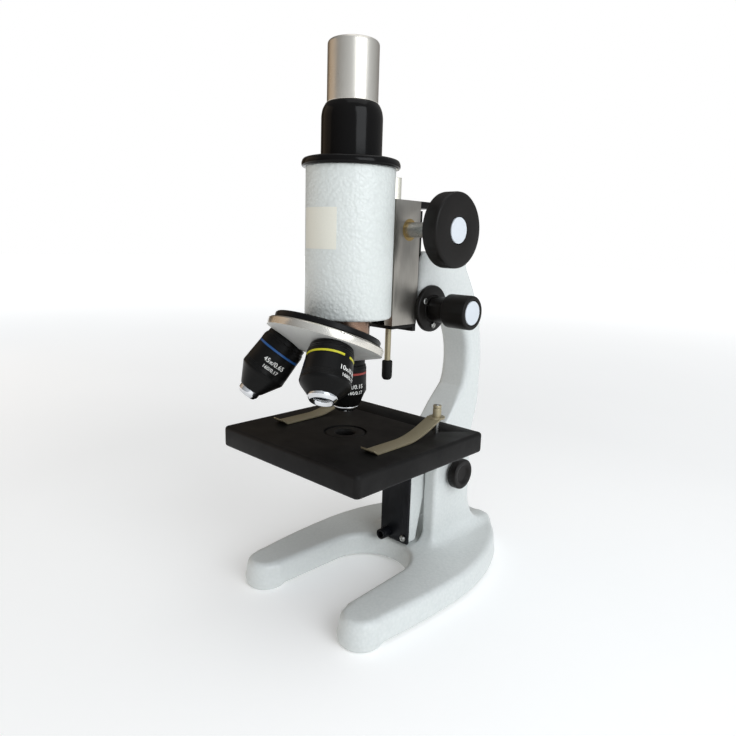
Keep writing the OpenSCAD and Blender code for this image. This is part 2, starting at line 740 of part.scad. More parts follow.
// ---- Eyepiece ----
module eyepiece_tube() {
    r = ocular_d / 2;
    round_r = 2.6;
    color("silver") translate([0, axis_y, sleeve_z1]) difference() {
        rotate_extrude($fn = 96)
            polygon(concat([[0, -26], [barrel_r, -26], [barrel_r, 0], [r, 0]],
                arc(r - round_r, ocular_h - round_r, round_r, 0, 90, 8), [[0, ocular_h]]));
        translate([0, 0, -27]) cylinder(ocular_h + 24, r = barrel_r - 1.4);
        translate([0, 0, ocular_h - 4]) cylinder(6, r = 6.5);
    }
}
module eye_lens() {
    color("lightblue") translate([0, axis_y, sleeve_z1 + ocular_h - 5.6])
        cylinder(2.6, r = barrel_r - 1.4);
}
module field_lens() {
    color("lightblue") translate([0, axis_y, sleeve_z1 - 23]) cylinder(3, r = barrel_r - 1.4);
}

foot_casting();
pivot_bolt();
pivot_knobs();
arm_casting();
stage_plate();
stage_insert();
stage_screws();
clip_posts();
mirror_bracket();
bracket_screws();
mirror_socket();
fine_flanges();
flange_screws();
fine_bushes();
clip_strip(-post_x);  // clip_left
clip_strip(post_x);  // clip_right
clip_collar(-post_x);  // clip_left_collar
clip_collar(post_x);  // clip_right_collar
diaphragm_disc();
diaphragm_screw();
fine_shaft();
fine_knobs();
fine_caps();
focus_block();
guide_plate();
guide_screws();
pinion_bushes();
pinion_shaft();
coarse_knobs();
coarse_caps();
body_tube();
tube_slide();
slide_screws();
flange_ring();
eyepiece_sleeve();
stop_rod();
stop_tip();
nosepiece_neck();
nosepiece_plate();
turret_bolt();
turret_disc();
objective(LOW);  // objective_low
objective(MID);  // objective_mid
objective(HIGH);  // objective_high
objective_tips();
objective_lenses();
eyepiece_tube();
eye_lens();
field_lens();
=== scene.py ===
from math import asin, ceil, cos, pi, radians, sin, tan

import bmesh
import bpy
import numpy as np
from mathutils import Matrix, Vector


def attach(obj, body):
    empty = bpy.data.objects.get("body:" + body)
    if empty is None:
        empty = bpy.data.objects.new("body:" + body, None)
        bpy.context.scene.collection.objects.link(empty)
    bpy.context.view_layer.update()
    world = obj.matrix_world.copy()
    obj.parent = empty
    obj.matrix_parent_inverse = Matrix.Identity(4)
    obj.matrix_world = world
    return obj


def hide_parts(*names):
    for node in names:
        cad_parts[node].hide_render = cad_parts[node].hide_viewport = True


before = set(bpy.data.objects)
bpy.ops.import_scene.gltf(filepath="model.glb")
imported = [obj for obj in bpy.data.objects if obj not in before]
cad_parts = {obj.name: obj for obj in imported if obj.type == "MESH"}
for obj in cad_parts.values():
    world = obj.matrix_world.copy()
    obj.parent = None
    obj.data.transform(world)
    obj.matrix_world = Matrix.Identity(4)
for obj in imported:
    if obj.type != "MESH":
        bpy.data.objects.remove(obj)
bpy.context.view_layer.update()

MM = 0.001


# ---- The place: a pale table top, soft window light from the right, and the camera ----
# The floor and the lights aren't part of the microscope. A large soft window lies to its
# right, a warm wall to its left throws a little tan light back, and the rest is white.
def linear(sheet_colour):
    """An sRGB hex colour as linear red, green, blue and alpha."""
    parts = [int(sheet_colour[i:i + 2], 16) / 255 for i in (1, 3, 5)]
    return [c / 12.92 if c <= 0.04045 else ((c + 0.055) / 1.055) ** 2.4 for c in parts] + [1.0]


def put(name, data):
    """An object of its own for a mesh, a lamp or a camera, in the scene."""
    made = bpy.data.objects.new(name, data)
    bpy.context.collection.objects.link(made)
    return made


def add(tree, kind, inputs=(), **settings):
    """Adds a node to a tree. An input is a value, or a socket of another node."""
    made = tree.nodes.new(kind)
    for name, value in settings.items():
        setattr(made, name, value)
    for key, value in dict(inputs).items():
        if isinstance(value, bpy.types.NodeSocket):
            tree.links.new(value, made.inputs[key])
        else:
            made.inputs[key].default_value = value
    return made


def new_material(name, **finish):
    """A material with its surface shader, and the place on the piece in millimetres."""
    made = bpy.data.materials.new(name)
    made.use_nodes = True
    tree = made.node_tree
    tree.nodes.clear()
    shader = add(tree, "ShaderNodeBsdfPrincipled", finish)
    out = add(tree, "ShaderNodeOutputMaterial")
    tree.links.new(shader.outputs[0], out.inputs["Surface"])
    place = add(tree, "ShaderNodeTexCoord").outputs["Object"]
    scaled = add(tree, "ShaderNodeVectorMath", {0: place, "Scale": 1 / MM}, operation="SCALE")
    return made, tree, shader, scaled.outputs[0]


def noise(tree, place, scale, detail=2.0, **more):
    """Cloudy noise on a place in millimetres."""
    made = add(tree, "ShaderNodeTexNoise", {"Vector": place, "Scale": scale, "Detail": detail, **more})
    return made.outputs["Fac"]


def blend(tree, factor, first, second):
    """A colour between two sheet colours."""
    made = add(tree, "ShaderNodeMix", {"Factor": factor, "A": linear(first), "B": linear(second)},
               data_type="RGBA")
    return made.outputs["Result"]


def spread(tree, value, low, high, start=0.3, end=0.7):
    """A value carried from the range start to end onto the range low to high."""
    made = add(tree, "ShaderNodeMapRange", {"Value": value, "From Min": start, "From Max": end,
                                            "To Min": low, "To Max": high})
    return made.outputs["Result"]


view_turn = radians(43.12)
view_down = radians(11.55)
view_roll = radians(1.68)
camera = put("camera", bpy.data.cameras.new("camera"))
camera.data.lens = 30.206
camera.data.sensor_width = 36
camera.data.clip_start = 0.01
camera.matrix_world = (Matrix.Translation((0.2430, -0.3218, 0.2093))
                       @ Matrix.Rotation(view_turn, 4, "Z")
                       @ Matrix.Rotation(pi / 2 - view_down, 4, "X")
                       @ Matrix.Rotation(view_roll, 4, "Z"))
bpy.context.scene.camera = camera

floor_mesh = bpy.data.meshes.new("floor")
floor_mesh.from_pydata([(-6, -6, 0), (6, -6, 0), (6, 6, 0), (-6, 6, 0)], [], [(0, 1, 2, 3)])
floor = put("floor", floor_mesh)
table_top, tree, shader, mm = new_material("matt_white_table", Roughness=0.9)
tint = blend(tree, noise(tree, mm, 0.004), "#f6f6f5", "#fbfbfa")
tree.links.new(tint, shader.inputs["Base Color"])
# Painted light: the table top glows white on its own, weakly within 350 mm of the middle and up to 0.7
# beyond 2.2 m, so the floor reads white round the microscope.
far = add(tree, "ShaderNodeVectorMath", {0: mm}, operation="LENGTH")
painted_floor_glow = spread(tree, far.outputs["Value"], 0.16, 0.7, 350.0, 2200.0)
tree.links.new(painted_floor_glow, shader.inputs["Emission Strength"])
shader.inputs["Emission Color"].default_value = linear("#ffffff")
floor_mesh.materials.append(table_top)

world = bpy.data.worlds.new("room")
bpy.context.scene.world = world
bpy.context.scene.view_settings.view_transform = "Standard"
world.use_nodes = True
world.node_tree.nodes.clear()
room = world.node_tree
direction = add(room, "ShaderNodeTexCoord").outputs["Generated"]
bright_side = add(room, "ShaderNodeVectorMath", {0: direction, 1: (0.88, -0.16, 0.45)},
                  operation="DOT_PRODUCT")
side = spread(room, bright_side.outputs["Value"], 0.0, 1.0, -0.7, 0.9)
walls = blend(room, side, "#564a3a", "#d6dbe0")
seen = add(room, "ShaderNodeLightPath").outputs["Is Camera Ray"]
behind = add(room, "ShaderNodeMix", {"Factor": seen, "A": walls, "B": linear("#ffffff")}, data_type="RGBA")
sky = add(room, "ShaderNodeBackground", {"Color": behind.outputs["Result"]})
add(room, "ShaderNodeOutputWorld", {"Surface": sky.outputs[0]})


def soft_light(name, place, aim, size, watts, colour):
    """A square area light that points at a place on the microscope."""
    light = bpy.data.lights.new(name, "AREA")
    light.size, light.energy, light.color = size, watts, linear(colour)[:3]
    lamp = put(name, light)
    lamp.location = place
    lamp.rotation_euler = (Vector(aim) - Vector(place)).to_track_quat("-Z", "Y").to_euler()


soft_light("window", (0.95, -0.25, 0.62), (0, -0.04, 0.13), 0.7, 5.6, "#f7fbff")
soft_light("ceiling", (0.1, 0.1, 1.5), (0, -0.04, 0.1), 1.2, 4.2, "#ffffff")
soft_light("warm_wall", (-0.8, -0.5, 0.4), (0, -0.06, 0.18), 0.8, 0.8, "#ffe3c4")


# ---- Foot ----
# A horseshoe foot with two cheeks for the arm, one heavy iron casting made in sand, so all
# its edges and inner corners are soft. It is filled and finished in light hammer enamel.
def arc(cx, cy, rx, ry, start, end, steps):
    """Points along an arc of a circle or an ellipse, its angles in degrees."""
    turns = [radians(start + (end - start) * i / steps) for i in range(steps + 1)]
    return [(cx + rx * cos(t), cy + ry * sin(t)) for t in turns]


def outline_distance(u, v, outline):
    """Distance of each point from a closed outline, negative inside it."""
    nearest = np.full(u.shape, 1e9)
    inside = np.zeros(u.shape, bool)
    for (u0, v0), (u1, v1) in zip(outline, outline[1:] + outline[:1]):
        du, dv = u1 - u0, v1 - v0
        length2 = du * du + dv * dv
        if length2 < 1e-12:
            continue
        t = np.clip(((u - u0) * du + (v - v0) * dv) / length2, 0, 1)
        nearest = np.minimum(nearest, (u - u0 - du * t) ** 2 + (v - v0 - dv * t) ** 2)
        if dv:
            inside ^= ((v0 > v) != (v1 > v)) & (u < u0 + du * (v - v0) / dv)
    return np.where(inside, -1, 1) * np.sqrt(nearest)


def slab(flat, along, half, edge):
    """Distance from an outline given a thickness of twice half, with rounded edges."""
    a, b = flat + edge, np.abs(along) - half + edge
    return np.minimum(np.maximum(a, b), 0) + np.hypot(np.maximum(a, 0), np.maximum(b, 0)) - edge


def fillet(a, b, r):
    """Joins two solids with a fillet of about radius r."""
    h = np.maximum(r - np.abs(a - b), 0) / r
    return np.minimum(a, b) - h * h * r / 4


def cut(a, b, r):
    """Takes solid b out of solid a and rounds the edge that it leaves."""
    return -fillet(-a, b, r)


def new_piece(name, mesh, material, crease=35):
    """A piece in the scene: smooth faces with creases at sharp edges, and its material."""
    mesh.polygons.foreach_set("use_smooth", [True] * len(mesh.polygons))
    mesh.set_sharp_from_angle(angle=radians(crease))
    mesh.materials.clear()
    mesh.materials.append(material)
    return put(name, mesh)


def fit(piece, body, slot, *nodes):
    """Fixes a piece to its body and lets it stand for nodes of the frame. Its slot is not used."""
    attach(piece, body)
    if nodes:
        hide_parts(*nodes)


def cast(name, field, low, high, cell, material):
    """A closed mesh of the surface where a field of signed distances is nought."""
    shape = [ceil((b - a) / cell) + 1 for a, b in zip(low, high)]
    axes = [a + cell * np.arange(n) for a, n in zip(low, shape)]
    d = field(*np.meshgrid(*axes, indexing="ij"))
    total, count, quads = np.zeros((d.size, 3)), np.zeros(d.size), []
    for a in range(3):
        b, c = (a + 1) % 3, (a + 2) % 3
        near, far = (np.take(d, range(i, d.shape[a] - 1 + i), a) < 0 for i in (0, 1))
        index = np.argwhere(near != far)
        step = index.copy()
        step[:, a] += 1
        d0, d1 = d[tuple(index.T)], d[tuple(step.T)]
        point = index.astype(float)
        point[:, a] += d0 / (d0 - d1)
        corners = []
        for back_b, back_c in ((0, 0), (1, 0), (1, 1), (0, 1)):
            cell_index = index.copy()
            cell_index[:, b] -= back_b
            cell_index[:, c] -= back_c
            flat = np.ravel_multi_index(tuple(cell_index.T), d.shape)
            np.add.at(total, flat, point)
            np.add.at(count, flat, 1)
            corners.append(flat)
        quad = np.stack(corners, 1)
        quads.append(np.where((d0 > 0)[:, None], quad[:, ::-1], quad))
    used = np.flatnonzero(count)
    number = np.zeros(d.size, int)
    number[used] = np.arange(len(used))
    points = (total[used] / count[used, None] * cell + np.array(low)) * MM
    mesh = bpy.data.meshes.new(name)
    mesh.from_pydata(points.tolist(), [], number[np.concatenate(quads)].tolist())
    return new_piece(name, mesh, material, 180)


def coat(tree, shader, colour, rough, height, strength, depth):
    """Gives a surface its colour, its roughness and a relief of a depth in millimetres."""
    bump = add(tree, "ShaderNodeBump", {"Height": height, "Strength": strength, "Distance": depth * MM})
    for name, socket in (("Base Color", colour), ("Roughness", rough), ("Normal", bump.outputs["Normal"])):
        tree.links.new(socket, shader.inputs[name])


def hammer_enamel(name, light, dark, cell, depth):
    """Stoved hammer-finish enamel: the glossy coat pulls itself into shallow round dimples."""
    made, tree, shader, mm = new_material(name, Roughness=0.34, IOR=1.5)
    drift = add(tree, "ShaderNodeTexNoise", {"Vector": mm, "Scale": 0.5 / cell, "Detail": 3.0})
    stirred = add(tree, "ShaderNodeVectorMath", {0: drift.outputs["Color"], "Scale": cell},
                  operation="SCALE")
    bent = add(tree, "ShaderNodeVectorMath", {0: mm, 1: stirred.outputs[0]})
    dimple = add(tree, "ShaderNodeTexVoronoi", {"Vector": bent.outputs[0], "Scale": 1 / cell,
                                                "Smoothness": 0.55}, feature="SMOOTH_F1")
    dimple_depth = dimple.outputs["Distance"]
    patch = noise(tree, mm, 0.02, 3.0)
    shade = add(tree, "ShaderNodeMath", {0: dimple_depth, 1: patch}, operation="MULTIPLY")
    coat(tree, shader, blend(tree, shade.outputs[0], light, dark), spread(tree, patch, 0.28, 0.42),
         dimple_depth, 1.0, depth)
    return made


grey_enamel = hammer_enamel("light_grey_hammer_enamel", "#d9dcda", "#c6cbc9", 1.7, 0.10)

tube_y = -80.0
foot_half_w, heel_y = 59.0, 53.5
foot_top, pad = 16.5, 2.0
waist_y = tube_y + 38.5
toe_x, toe_y, toe_r = foot_half_w - 18, tube_y - 26, 13.0
leg_reach = 160.0
horseshoe_r, horseshoe_y = 25.0, tube_y + 21.5
toe_turn = asin((toe_y - waist_y) / leg_reach) * 180 / pi
outer_plan = (arc(0, waist_y, foot_half_w, leg_reach, toe_turn, 0, 10)
              + arc(0, waist_y, foot_half_w, heel_y - waist_y, 0, 180, 60)
              + arc(0, waist_y, foot_half_w, leg_reach, 180, 180 - toe_turn, 10))
inner_side = toe_x - toe_r + 0.3
inner_plan = ([(inner_side, toe_y - 40)] + arc(0, horseshoe_y, horseshoe_r, horseshoe_r, 0, 180, 32)
              + [(-inner_side, toe_y - 40)])
pivot_z = 62.5
cheek_half, cheek_near, cheek_far = 19.5, 11.8, 21.8
cheek_foot = heel_y - 8
cheek_side = ([(-cheek_half, foot_top - 5), (cheek_foot, foot_top - 5)]
              + arc(cheek_foot, foot_top + 28, cheek_foot - cheek_half, 28, 270, 180, 12)
              + arc(0, pivot_z, cheek_half, cheek_half, 0, 180, 32))


def foot_field(x, y, z):
    """The foot: drafted legs, cheeks with a filleted root, the arm's slot, pads and a bolt hole."""
    flat = (x[:, :, :1], y[:, :, :1])
    legs = outline_distance(*flat, outer_plan)
    for side in (-1, 1):
        toe = np.hypot(flat[0] - side * toe_x, flat[1] - toe_y) - toe_r
        legs = fillet(legs, toe, 4)
    legs = np.maximum(legs, -outline_distance(*flat, inner_plan))
    draft = 0.15 * (z - pad) * np.clip((heel_y - y) / 40, 0.35, 1)
    body = slab(legs + draft, z - (foot_top + pad) / 2, (foot_top - pad) / 2, 3.2)
    side_view = outline_distance(y[:1], z[:1], cheek_side)
    cheek = slab(side_view, np.abs(x) - (cheek_near + cheek_far) / 2,
                 (cheek_far - cheek_near) / 2, 2.4)
    body = fillet(body, cheek, 9)
    slot = slab(np.abs(x) - cheek_near + 0.15, z - 60, 60 - foot_top - 0.1, 0.5)
    body = cut(body, np.maximum(slot, np.abs(y + 4) - 27), 1.2)
    toes = np.minimum(*[np.hypot(x - s * toe_x, y - toe_y) - toe_r + 0.9 for s in (-1, 1)])
    heel = np.maximum(legs + 0.8, cheek_half + 2 - y)
    under = np.minimum(np.minimum(toes, heel), np.hypot(x, y) - 14)
    pads = slab(under, z - pad - 1, pad + 1, 0.9)
    return cut(fillet(body, pads, 1.6), np.hypot(y, z - pivot_z) - 4.1, 0.2)


foot = cast("foot", foot_field, (-61, -121, -2), (61, 56, 84), 0.95, grey_enamel)
fit(foot, "base", "light_paint", "foot_casting")


# ---- Inclination joint ----
# The arm tilts on a steel bolt through both cheeks. A moulded black clamping knob with a
# shallow dish in its face screws onto each end.
def softened(outline, radius, on_axis=False, steps=3):
    """An outline with rounded corners. A corner's third value is a radius of its own."""
    result = []
    for i, corner in enumerate(outline):
        reach = corner[2] if len(corner) > 2 else radius
        if reach == 0 or (on_axis and i in (0, len(outline) - 1)):
            result.append(tuple(corner[:2]))
            continue
        here = Vector(corner[:2])
        back = Vector(outline[i - 1][:2]) - here
        ahead = Vector(outline[(i + 1) % len(outline)][:2]) - here
        reach = min(reach, back.length * 0.45, ahead.length * 0.45)
        a, b = here + back.normalized() * reach, here + ahead.normalized() * reach
        for k in range(steps + 1):
            t = k / steps
            result.append(tuple(a * (1 - t) ** 2 + here * 2 * t * (1 - t) + b * t * t))
    return result


def outwards(name, bm, mesh, material):
    """Turns every face outwards and keeps the mesh as a piece."""
    bmesh.ops.recalc_face_normals(bm, faces=bm.faces)
    bm.to_mesh(mesh)
    bm.free()
    return new_piece(name, mesh, material)


def closed(name, points, faces, material, weld=0.0):
    """A piece from points in millimetres and faces. Points closer than weld become one."""
    mesh = bpy.data.meshes.new(name)
    mesh.from_pydata([tuple(p * MM) for p in points], [], faces)
    bm = bmesh.new()
    bm.from_mesh(mesh)
    if weld:
        bmesh.ops.remove_doubles(bm, verts=bm.verts, dist=weld * MM)
    return outwards(name, bm, mesh, material)


def turned(name, outline, material, places, body, slot, *nodes, steps=96):
    """A turned piece, fitted: (radius, height) points spun about the axis of each place."""
    points, faces = [], []
    ring = [(cos(2 * pi * i / steps), sin(2 * pi * i / steps)) for i in range(steps)]
    for place in places:
        rows = []
        for r, h in outline:
            first = len(points)
            if r < 1e-6:
                points.append(place @ Vector((0, 0, h)))
                rows.append([first] * steps)
            else:
                points += [place @ Vector((r * c, r * s, h)) for c, s in ring]
                rows.append(list(range(first, first + steps)))
        closing = [] if outline[0][0] < 1e-6 else rows[:1]
        for low, high in zip(rows, rows[1:] + closing):
            for i in range(steps):
                j = (i + 1) % steps
                face = list(dict.fromkeys((low[i], low[j], high[j], high[i])))
                if len(face) > 2:
                    faces.append(face)
    piece = closed(name, points, faces, material)
    fit(piece, body, slot, *nodes)
    return piece


def both_ends(y, z):
    """Places for a pair of pieces on a shaft across the microscope, each with its axis outwards."""
    return [Matrix.Translation((0, y, z)) @ Matrix.Rotation(side * pi / 2, 4, "Y") for side in (1, -1)]


def moulded(name, colour, worn, gloss, grain):
    """Injection-moulded plastic: a faint spark-eroded grain, a little shinier where it is handled."""
    made, tree, shader, mm = new_material(name, Roughness=gloss, IOR=1.32)
    shader.inputs["Specular IOR Level"].default_value = 0.35
    broad = noise(tree, mm, 0.08, 3.0)
    coat(tree, shader, blend(tree, broad, colour, worn), spread(tree, broad, gloss - 0.06, gloss + 0.08),
         noise(tree, mm, 1 / grain), 0.6, 0.02)
    return made


def machined(name, light, dark, rough, line, along, metallic=1.0):
    """Bare metal with the fine tool lines of a lathe or a mill running one way."""
    made, tree, shader, mm = new_material(name, Metallic=metallic, Roughness=rough)
    stretch = add(tree, "ShaderNodeMapping", {"Vector": mm, "Scale": along})
    lines = noise(tree, stretch.outputs[0], 1 / line, 3.0)
    shade = add(tree, "ShaderNodeMix", {"Factor": 0.45, "A": lines, "B": noise(tree, mm, 0.06, 4.0)},
                data_type="FLOAT").outputs["Result"]
    coat(tree, shader, blend(tree, shade, dark, light), spread(tree, shade, rough + 0.08, rough - 0.06),
         lines, 0.5, 0.03)
    return made


def dress(material, *nodes):
    """Gives a material to nodes that keep their own mesh."""
    for name in nodes:
        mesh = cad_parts[name].data
        mesh.materials.clear()
        mesh.materials.append(material)


# Black thermoplastic, a little brown in strong light; the grain is drawn at 0.35 mm so it shows.
black_plastic = moulded("black_moulded_plastic", "#0d0c0b", "#191614", 0.42, 0.35)
# Ground carbon steel: tool lines 0.15 mm apart, running round the shaft.
bright_steel = machined("bright_ground_steel", "#c9c9c6", "#8d8d8a", 0.28, 0.5, (6.0, 0.6, 0.6))
dress(bright_steel, "pivot_bolt")
pivot_knob = softened([(0, cheek_far + 6.4), (5.0, cheek_far + 6.4, 0.8), (6.6, cheek_far + 7.7, 0.8),
                       (9.9, cheek_far + 8, 1.6), (9.9, cheek_far + 2, 0.8), (6.5, cheek_far + 2, 0.6),
                       (6.5, cheek_far + 0.05, 0.2), (0, cheek_far + 0.05)], 0.5, on_axis=True)
turned("pivot_knobs_moulded", pivot_knob, black_plastic, both_ends(0, pivot_z),
       "base", "black_plastic", "pivot_knobs")


# ---- Arm ----
# The C-shaped arm is one iron casting too: the column with its tongue between the cheeks,
# a short shelf for the stage, the curved back that is the handle, and the head on top.
column_y, column_foot = -31.0, 18.0
stage_top, stage_thick, stage_back = 101.5, 12.0, -20.0
stage_under = stage_top - stage_thick
shelf_y = tube_y + 22
tube_low, tube_high, tube_r = 168.0, 247.0, 24.0
head_front, head_low, head_high = -29.7, tube_low - 4.3, tube_low + 36.4
fine_y, fine_z, arm_half = -21.0, tube_low + 2.5, 11.5
arm_side = ([(column_y, column_foot), (column_y, pivot_z + 10), (shelf_y, stage_under - 6),
             (shelf_y, stage_under), (stage_back + 12, stage_under)]
            + arc(stage_back + 12, stage_top + 15, 27, 27, 270, 292, 4)
            + arc(-1, pivot_z + 69, 25.5, 36, -28, 40, 12)
            + arc(10, head_low - 8, 8, 8, 40, 90, 4)
            + [(head_front + 2, head_low), (head_front, head_low + 2)]
            + arc(head_front + 6, head_high - 6, 6, 6, 180, 90, 6)
            + arc(12, head_high - 8, 8, 8, 90, 50, 4)
            + arc(-69, pivot_z + 63.5, 111.3, 111.3, 38, -18, 24)
            + arc(13, pivot_z + 21.5, 22, 22, -35, -70, 5)
            + arc(0, pivot_z, 18, 18, 10, -90, 12)
            + [(-18, pivot_z - 18), (-24, column_foot)])
stage_screws_at = [(side * 6, tube_y + y) for y in (28, 42) for side in (-1, 1)]
screw_seat = stage_under - 5


def arm_field(x, y, z):
    """The arm: its side view given a width, less the slide's way, the cam's space and the holes."""
    side_view = outline_distance(y[:1], z[:1], arm_side)
    edge = 1.3 + 3.2 * np.clip((z - stage_top) / 14, 0, 1)
    body = slab(side_view, x, arm_half, edge)
    way = np.maximum(np.abs(x) - 7.5, np.maximum(y + 26.4, head_low - 2 - z))
    body = cut(body, way, 0.8)
    cam_space = np.maximum(np.abs(x) - 3.5, np.maximum(np.abs(y - fine_y) - 5.1,
                                                       np.abs(z - fine_z - 3.7) - 9.3))
    body = cut(body, cam_space, 0.2)
    body = cut(body, np.hypot(y, z - pivot_z) - 4.1, 0.2)
    body = cut(body, np.hypot(y - fine_y, z - fine_z) - 4.5, 0.2)
    for hole_x, hole_y in stage_screws_at:
        pocket = np.maximum(np.hypot(x - hole_x, y - hole_y) - 4.1, z - screw_seat)
        body = cut(body, pocket, 0.6)
    return body


arm = cast("arm", arm_field, (-13, -60, 16), (13, 45, 207), 0.85, grey_enamel)
fit(arm, "arm", "light_paint", "arm_casting")


# ---- Stage ----
# A square aluminium casting, its edges broken with a file, in matt black enamel. A loose
# ring with the light hole drops into a recess, so a dark line shows round it.
def eased_copy(name, node, material, width, body, slot, segments=3, chosen=None):
    """A node's mesh with a small round along each sharp edge, or the chosen ones, fitted."""
    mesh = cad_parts[node].data.copy()
    bm = bmesh.new()
    bm.from_mesh(mesh)
    bmesh.ops.remove_doubles(bm, verts=bm.verts, dist=0.001 * MM)
    bmesh.ops.dissolve_limit(bm, angle_limit=radians(0.5), verts=bm.verts, edges=bm.edges)
    edges = [e for e in bm.edges if len(e.link_faces) == 2 and e.calc_face_angle() > radians(35)
             and (chosen is None or all(chosen(v.co / MM) for v in e.verts))]
    bmesh.ops.bevel(bm, geom=edges, offset=width * MM, segments=segments, profile=0.5,
                    affect="EDGES", clamp_overlap=chosen is None)
    piece = outwards(name, bm, mesh, material)
    fit(piece, body, slot, node)
    return piece


def black_enamel(name, colour, rubbed, rough, grain, depth):
    """Black enamel, sprayed: orange peel of a real size, rubbed a little greyer in patches."""
    made, tree, shader, mm = new_material(name, Roughness=rough, IOR=1.3)
    shader.inputs["Specular IOR Level"].default_value = 0.3
    rub = noise(tree, mm, 0.035, 5.0, Roughness=0.65)
    worn = spread(tree, rub, 0.0, 1.0, 0.4, 0.75)
    coat(tree, shader, blend(tree, worn, colour, rubbed), spread(tree, rub, rough + 0.05, rough - 0.07),
         noise(tree, mm, 1 / grain), 0.7, depth)
    return made


# Matt stage enamel reflects a soft grey sheen; its peel is 0.9 mm across.
stage_black = black_enamel("matt_black_stage_enamel", "#100f0f", "#1b1a19", 0.5, 0.9, 0.03)
stage_middle, stage_half_w, stage_half_d = tube_y + 7, 55.0, 53.0


def on_rim(p):
    return abs(p.x) > stage_half_w - 3.1 or abs(p.y - stage_middle) > stage_half_d - 3.1


eased_copy("stage", "stage_plate", stage_black, 1.7, "arm", "black_paint", chosen=on_rim)
recess = stage_top - 0.4
insert_ring = softened([(5.5, recess - 2.6, 0.2), (5.5, recess - 0.9, 0.1), (6.3, recess, 0.2),
                        (11.1, recess, 0.3), (11.7, recess - 0.7, 0.2), (12.5, recess - 0.7, 0.1),
                        (12.5, recess - 2.6, 0.2)], 0.2)
at_axis = [Matrix.Translation((0, tube_y, 0))]
turned("stage_insert_ring", insert_ring, stage_black, at_axis, "arm", "black_paint", "stage_insert")


# ---- Stage screws ----
# Four slotted steel screws come up through the shelf into the stage from below. Every screw on
# the microscope is made by one tree: a head with a broken edge, a sawn slot and a plain shank.
def new_tree(name, sizes, result):
    """A geometry tree with its inputs: places, some sizes and a metal."""
    tree = bpy.data.node_groups.new(name, "GeometryNodeTree")
    for label, kind in [("Places", "Geometry"), *sizes, ("Metal", "Material")]:
        tree.interface.new_socket(label, in_out="INPUT", socket_type="NodeSocket" + kind)
    tree.interface.new_socket(result, in_out="OUTPUT", socket_type="NodeSocketGeometry")
    return tree, add(tree, "NodeGroupInput").outputs


def end_tree(tree, instances, metal, result):
    """Makes the instances real, in their metal, and ends the tree."""
    real = add(tree, "GeometryNodeRealizeInstances", {"Geometry": instances})
    clad = add(tree, "GeometryNodeSetMaterial", {"Geometry": real.outputs[0], "Material": metal})
    add(tree, "NodeGroupOutput", {result: clad.outputs[0]})
    return tree


def screw_tree():
    """A drum with a crown for the head, a sawn slot across it, and the shank below."""
    sizes = ("Head Radius", "Head Height", "Shank Radius", "Shank Length", "Slot Width")
    tree, given = new_tree("slotted_screws", [(label, "Float") for label in sizes], "Screws")

    def times(a, b):
        return add(tree, "ShaderNodeMath", {0: a, 1: b}, operation="MULTIPLY").outputs[0]

    def lifted(shape, height):
        up = add(tree, "ShaderNodeCombineXYZ", {"Z": height})
        return add(tree, "GeometryNodeTransform", {"Geometry": shape.outputs["Mesh"],
                                                   "Translation": up.outputs[0]}).outputs[0]

    radius, height = given["Head Radius"], given["Head Height"]
    lower = times(height, 0.6)
    drum = add(tree, "GeometryNodeMeshCylinder", {"Vertices": 40, "Radius": radius, "Depth": lower})
    crown = add(tree, "GeometryNodeMeshCone", {"Vertices": 40, "Radius Top": times(radius, 0.78),
                                               "Radius Bottom": radius, "Depth": times(height, 0.4)})
    head = add(tree, "GeometryNodeMeshBoolean", operation="UNION", solver="EXACT")
    for part in (lifted(drum, times(lower, 0.5)), lifted(crown, lower)):
        tree.links.new(part, head.inputs[1])
    slot_size = add(tree, "ShaderNodeCombineXYZ", {"X": times(radius, 2.4), "Y": given["Slot Width"],
                                                   "Z": height})
    saw = add(tree, "GeometryNodeMeshCube", {"Size": slot_size.outputs[0]})
    slotted = add(tree, "GeometryNodeMeshBoolean", {0: head.outputs[0]}, operation="DIFFERENCE",
                  solver="EXACT")
    tree.links.new(lifted(saw, height), slotted.inputs[1])
    shank = add(tree, "GeometryNodeMeshCylinder", {"Vertices": 24, "Radius": given["Shank Radius"],
                                                   "Depth": given["Shank Length"]})
    screw = add(tree, "GeometryNodeJoinGeometry")
    for part in (slotted.outputs[0], lifted(shank, times(given["Shank Length"], -0.5))):
        tree.links.new(part, screw.inputs[0])
    aim = add(tree, "GeometryNodeInputNamedAttribute", {"Name": "aim"}, data_type="FLOAT_VECTOR")
    turn = add(tree, "FunctionNodeAlignRotationToVector", {"Vector": aim.outputs["Attribute"]}, axis="Z")
    placed = add(tree, "GeometryNodeInstanceOnPoints", {"Points": given["Places"],
                                                        "Instance": screw.outputs[0],
                                                        "Rotation": turn.outputs[0]})
    any_turn = add(tree, "FunctionNodeRandomValue", {"Min": 0.0, "Max": 3.1, "Seed": 4},
                   data_type="FLOAT")
    spun = add(tree, "FunctionNodeAxisAngleToRotation", {"Axis": (0, 0, 1),
                                                         "Angle": any_turn.outputs[1]})
    tightened = add(tree, "GeometryNodeRotateInstances", {"Instances": placed.outputs[0],
                                                          "Rotation": spun.outputs[0]})
    return end_tree(tree, tightened.outputs[0], given["Metal"], "Screws")


def grow(name, points, tree, sizes, material, crease=35):
    """Runs a geometry tree on (place, aim) points in millimetres and keeps the plain mesh."""
    seed = bpy.data.meshes.new(name)
    seed.from_pydata([tuple(Vector(p) * MM) for p, _ in points], [], [])
    aims = seed.attributes.new("aim", "FLOAT_VECTOR", "POINT")
    aims.data.foreach_set("vector", [c for _, aim in points for c in aim])
    grown = put(name, seed)
    modifier = grown.modifiers.new("tree", "NODES")
    modifier.node_group = tree
    for socket in tree.interface.items_tree:
        if socket.name in sizes:
            modifier[socket.identifier] = sizes[socket.name]
    evaluated = grown.evaluated_get(bpy.context.evaluated_depsgraph_get())
    mesh = bpy.data.meshes.new_from_object(evaluated)
    bpy.data.objects.remove(grown)
    return new_piece(name, mesh, material, crease)


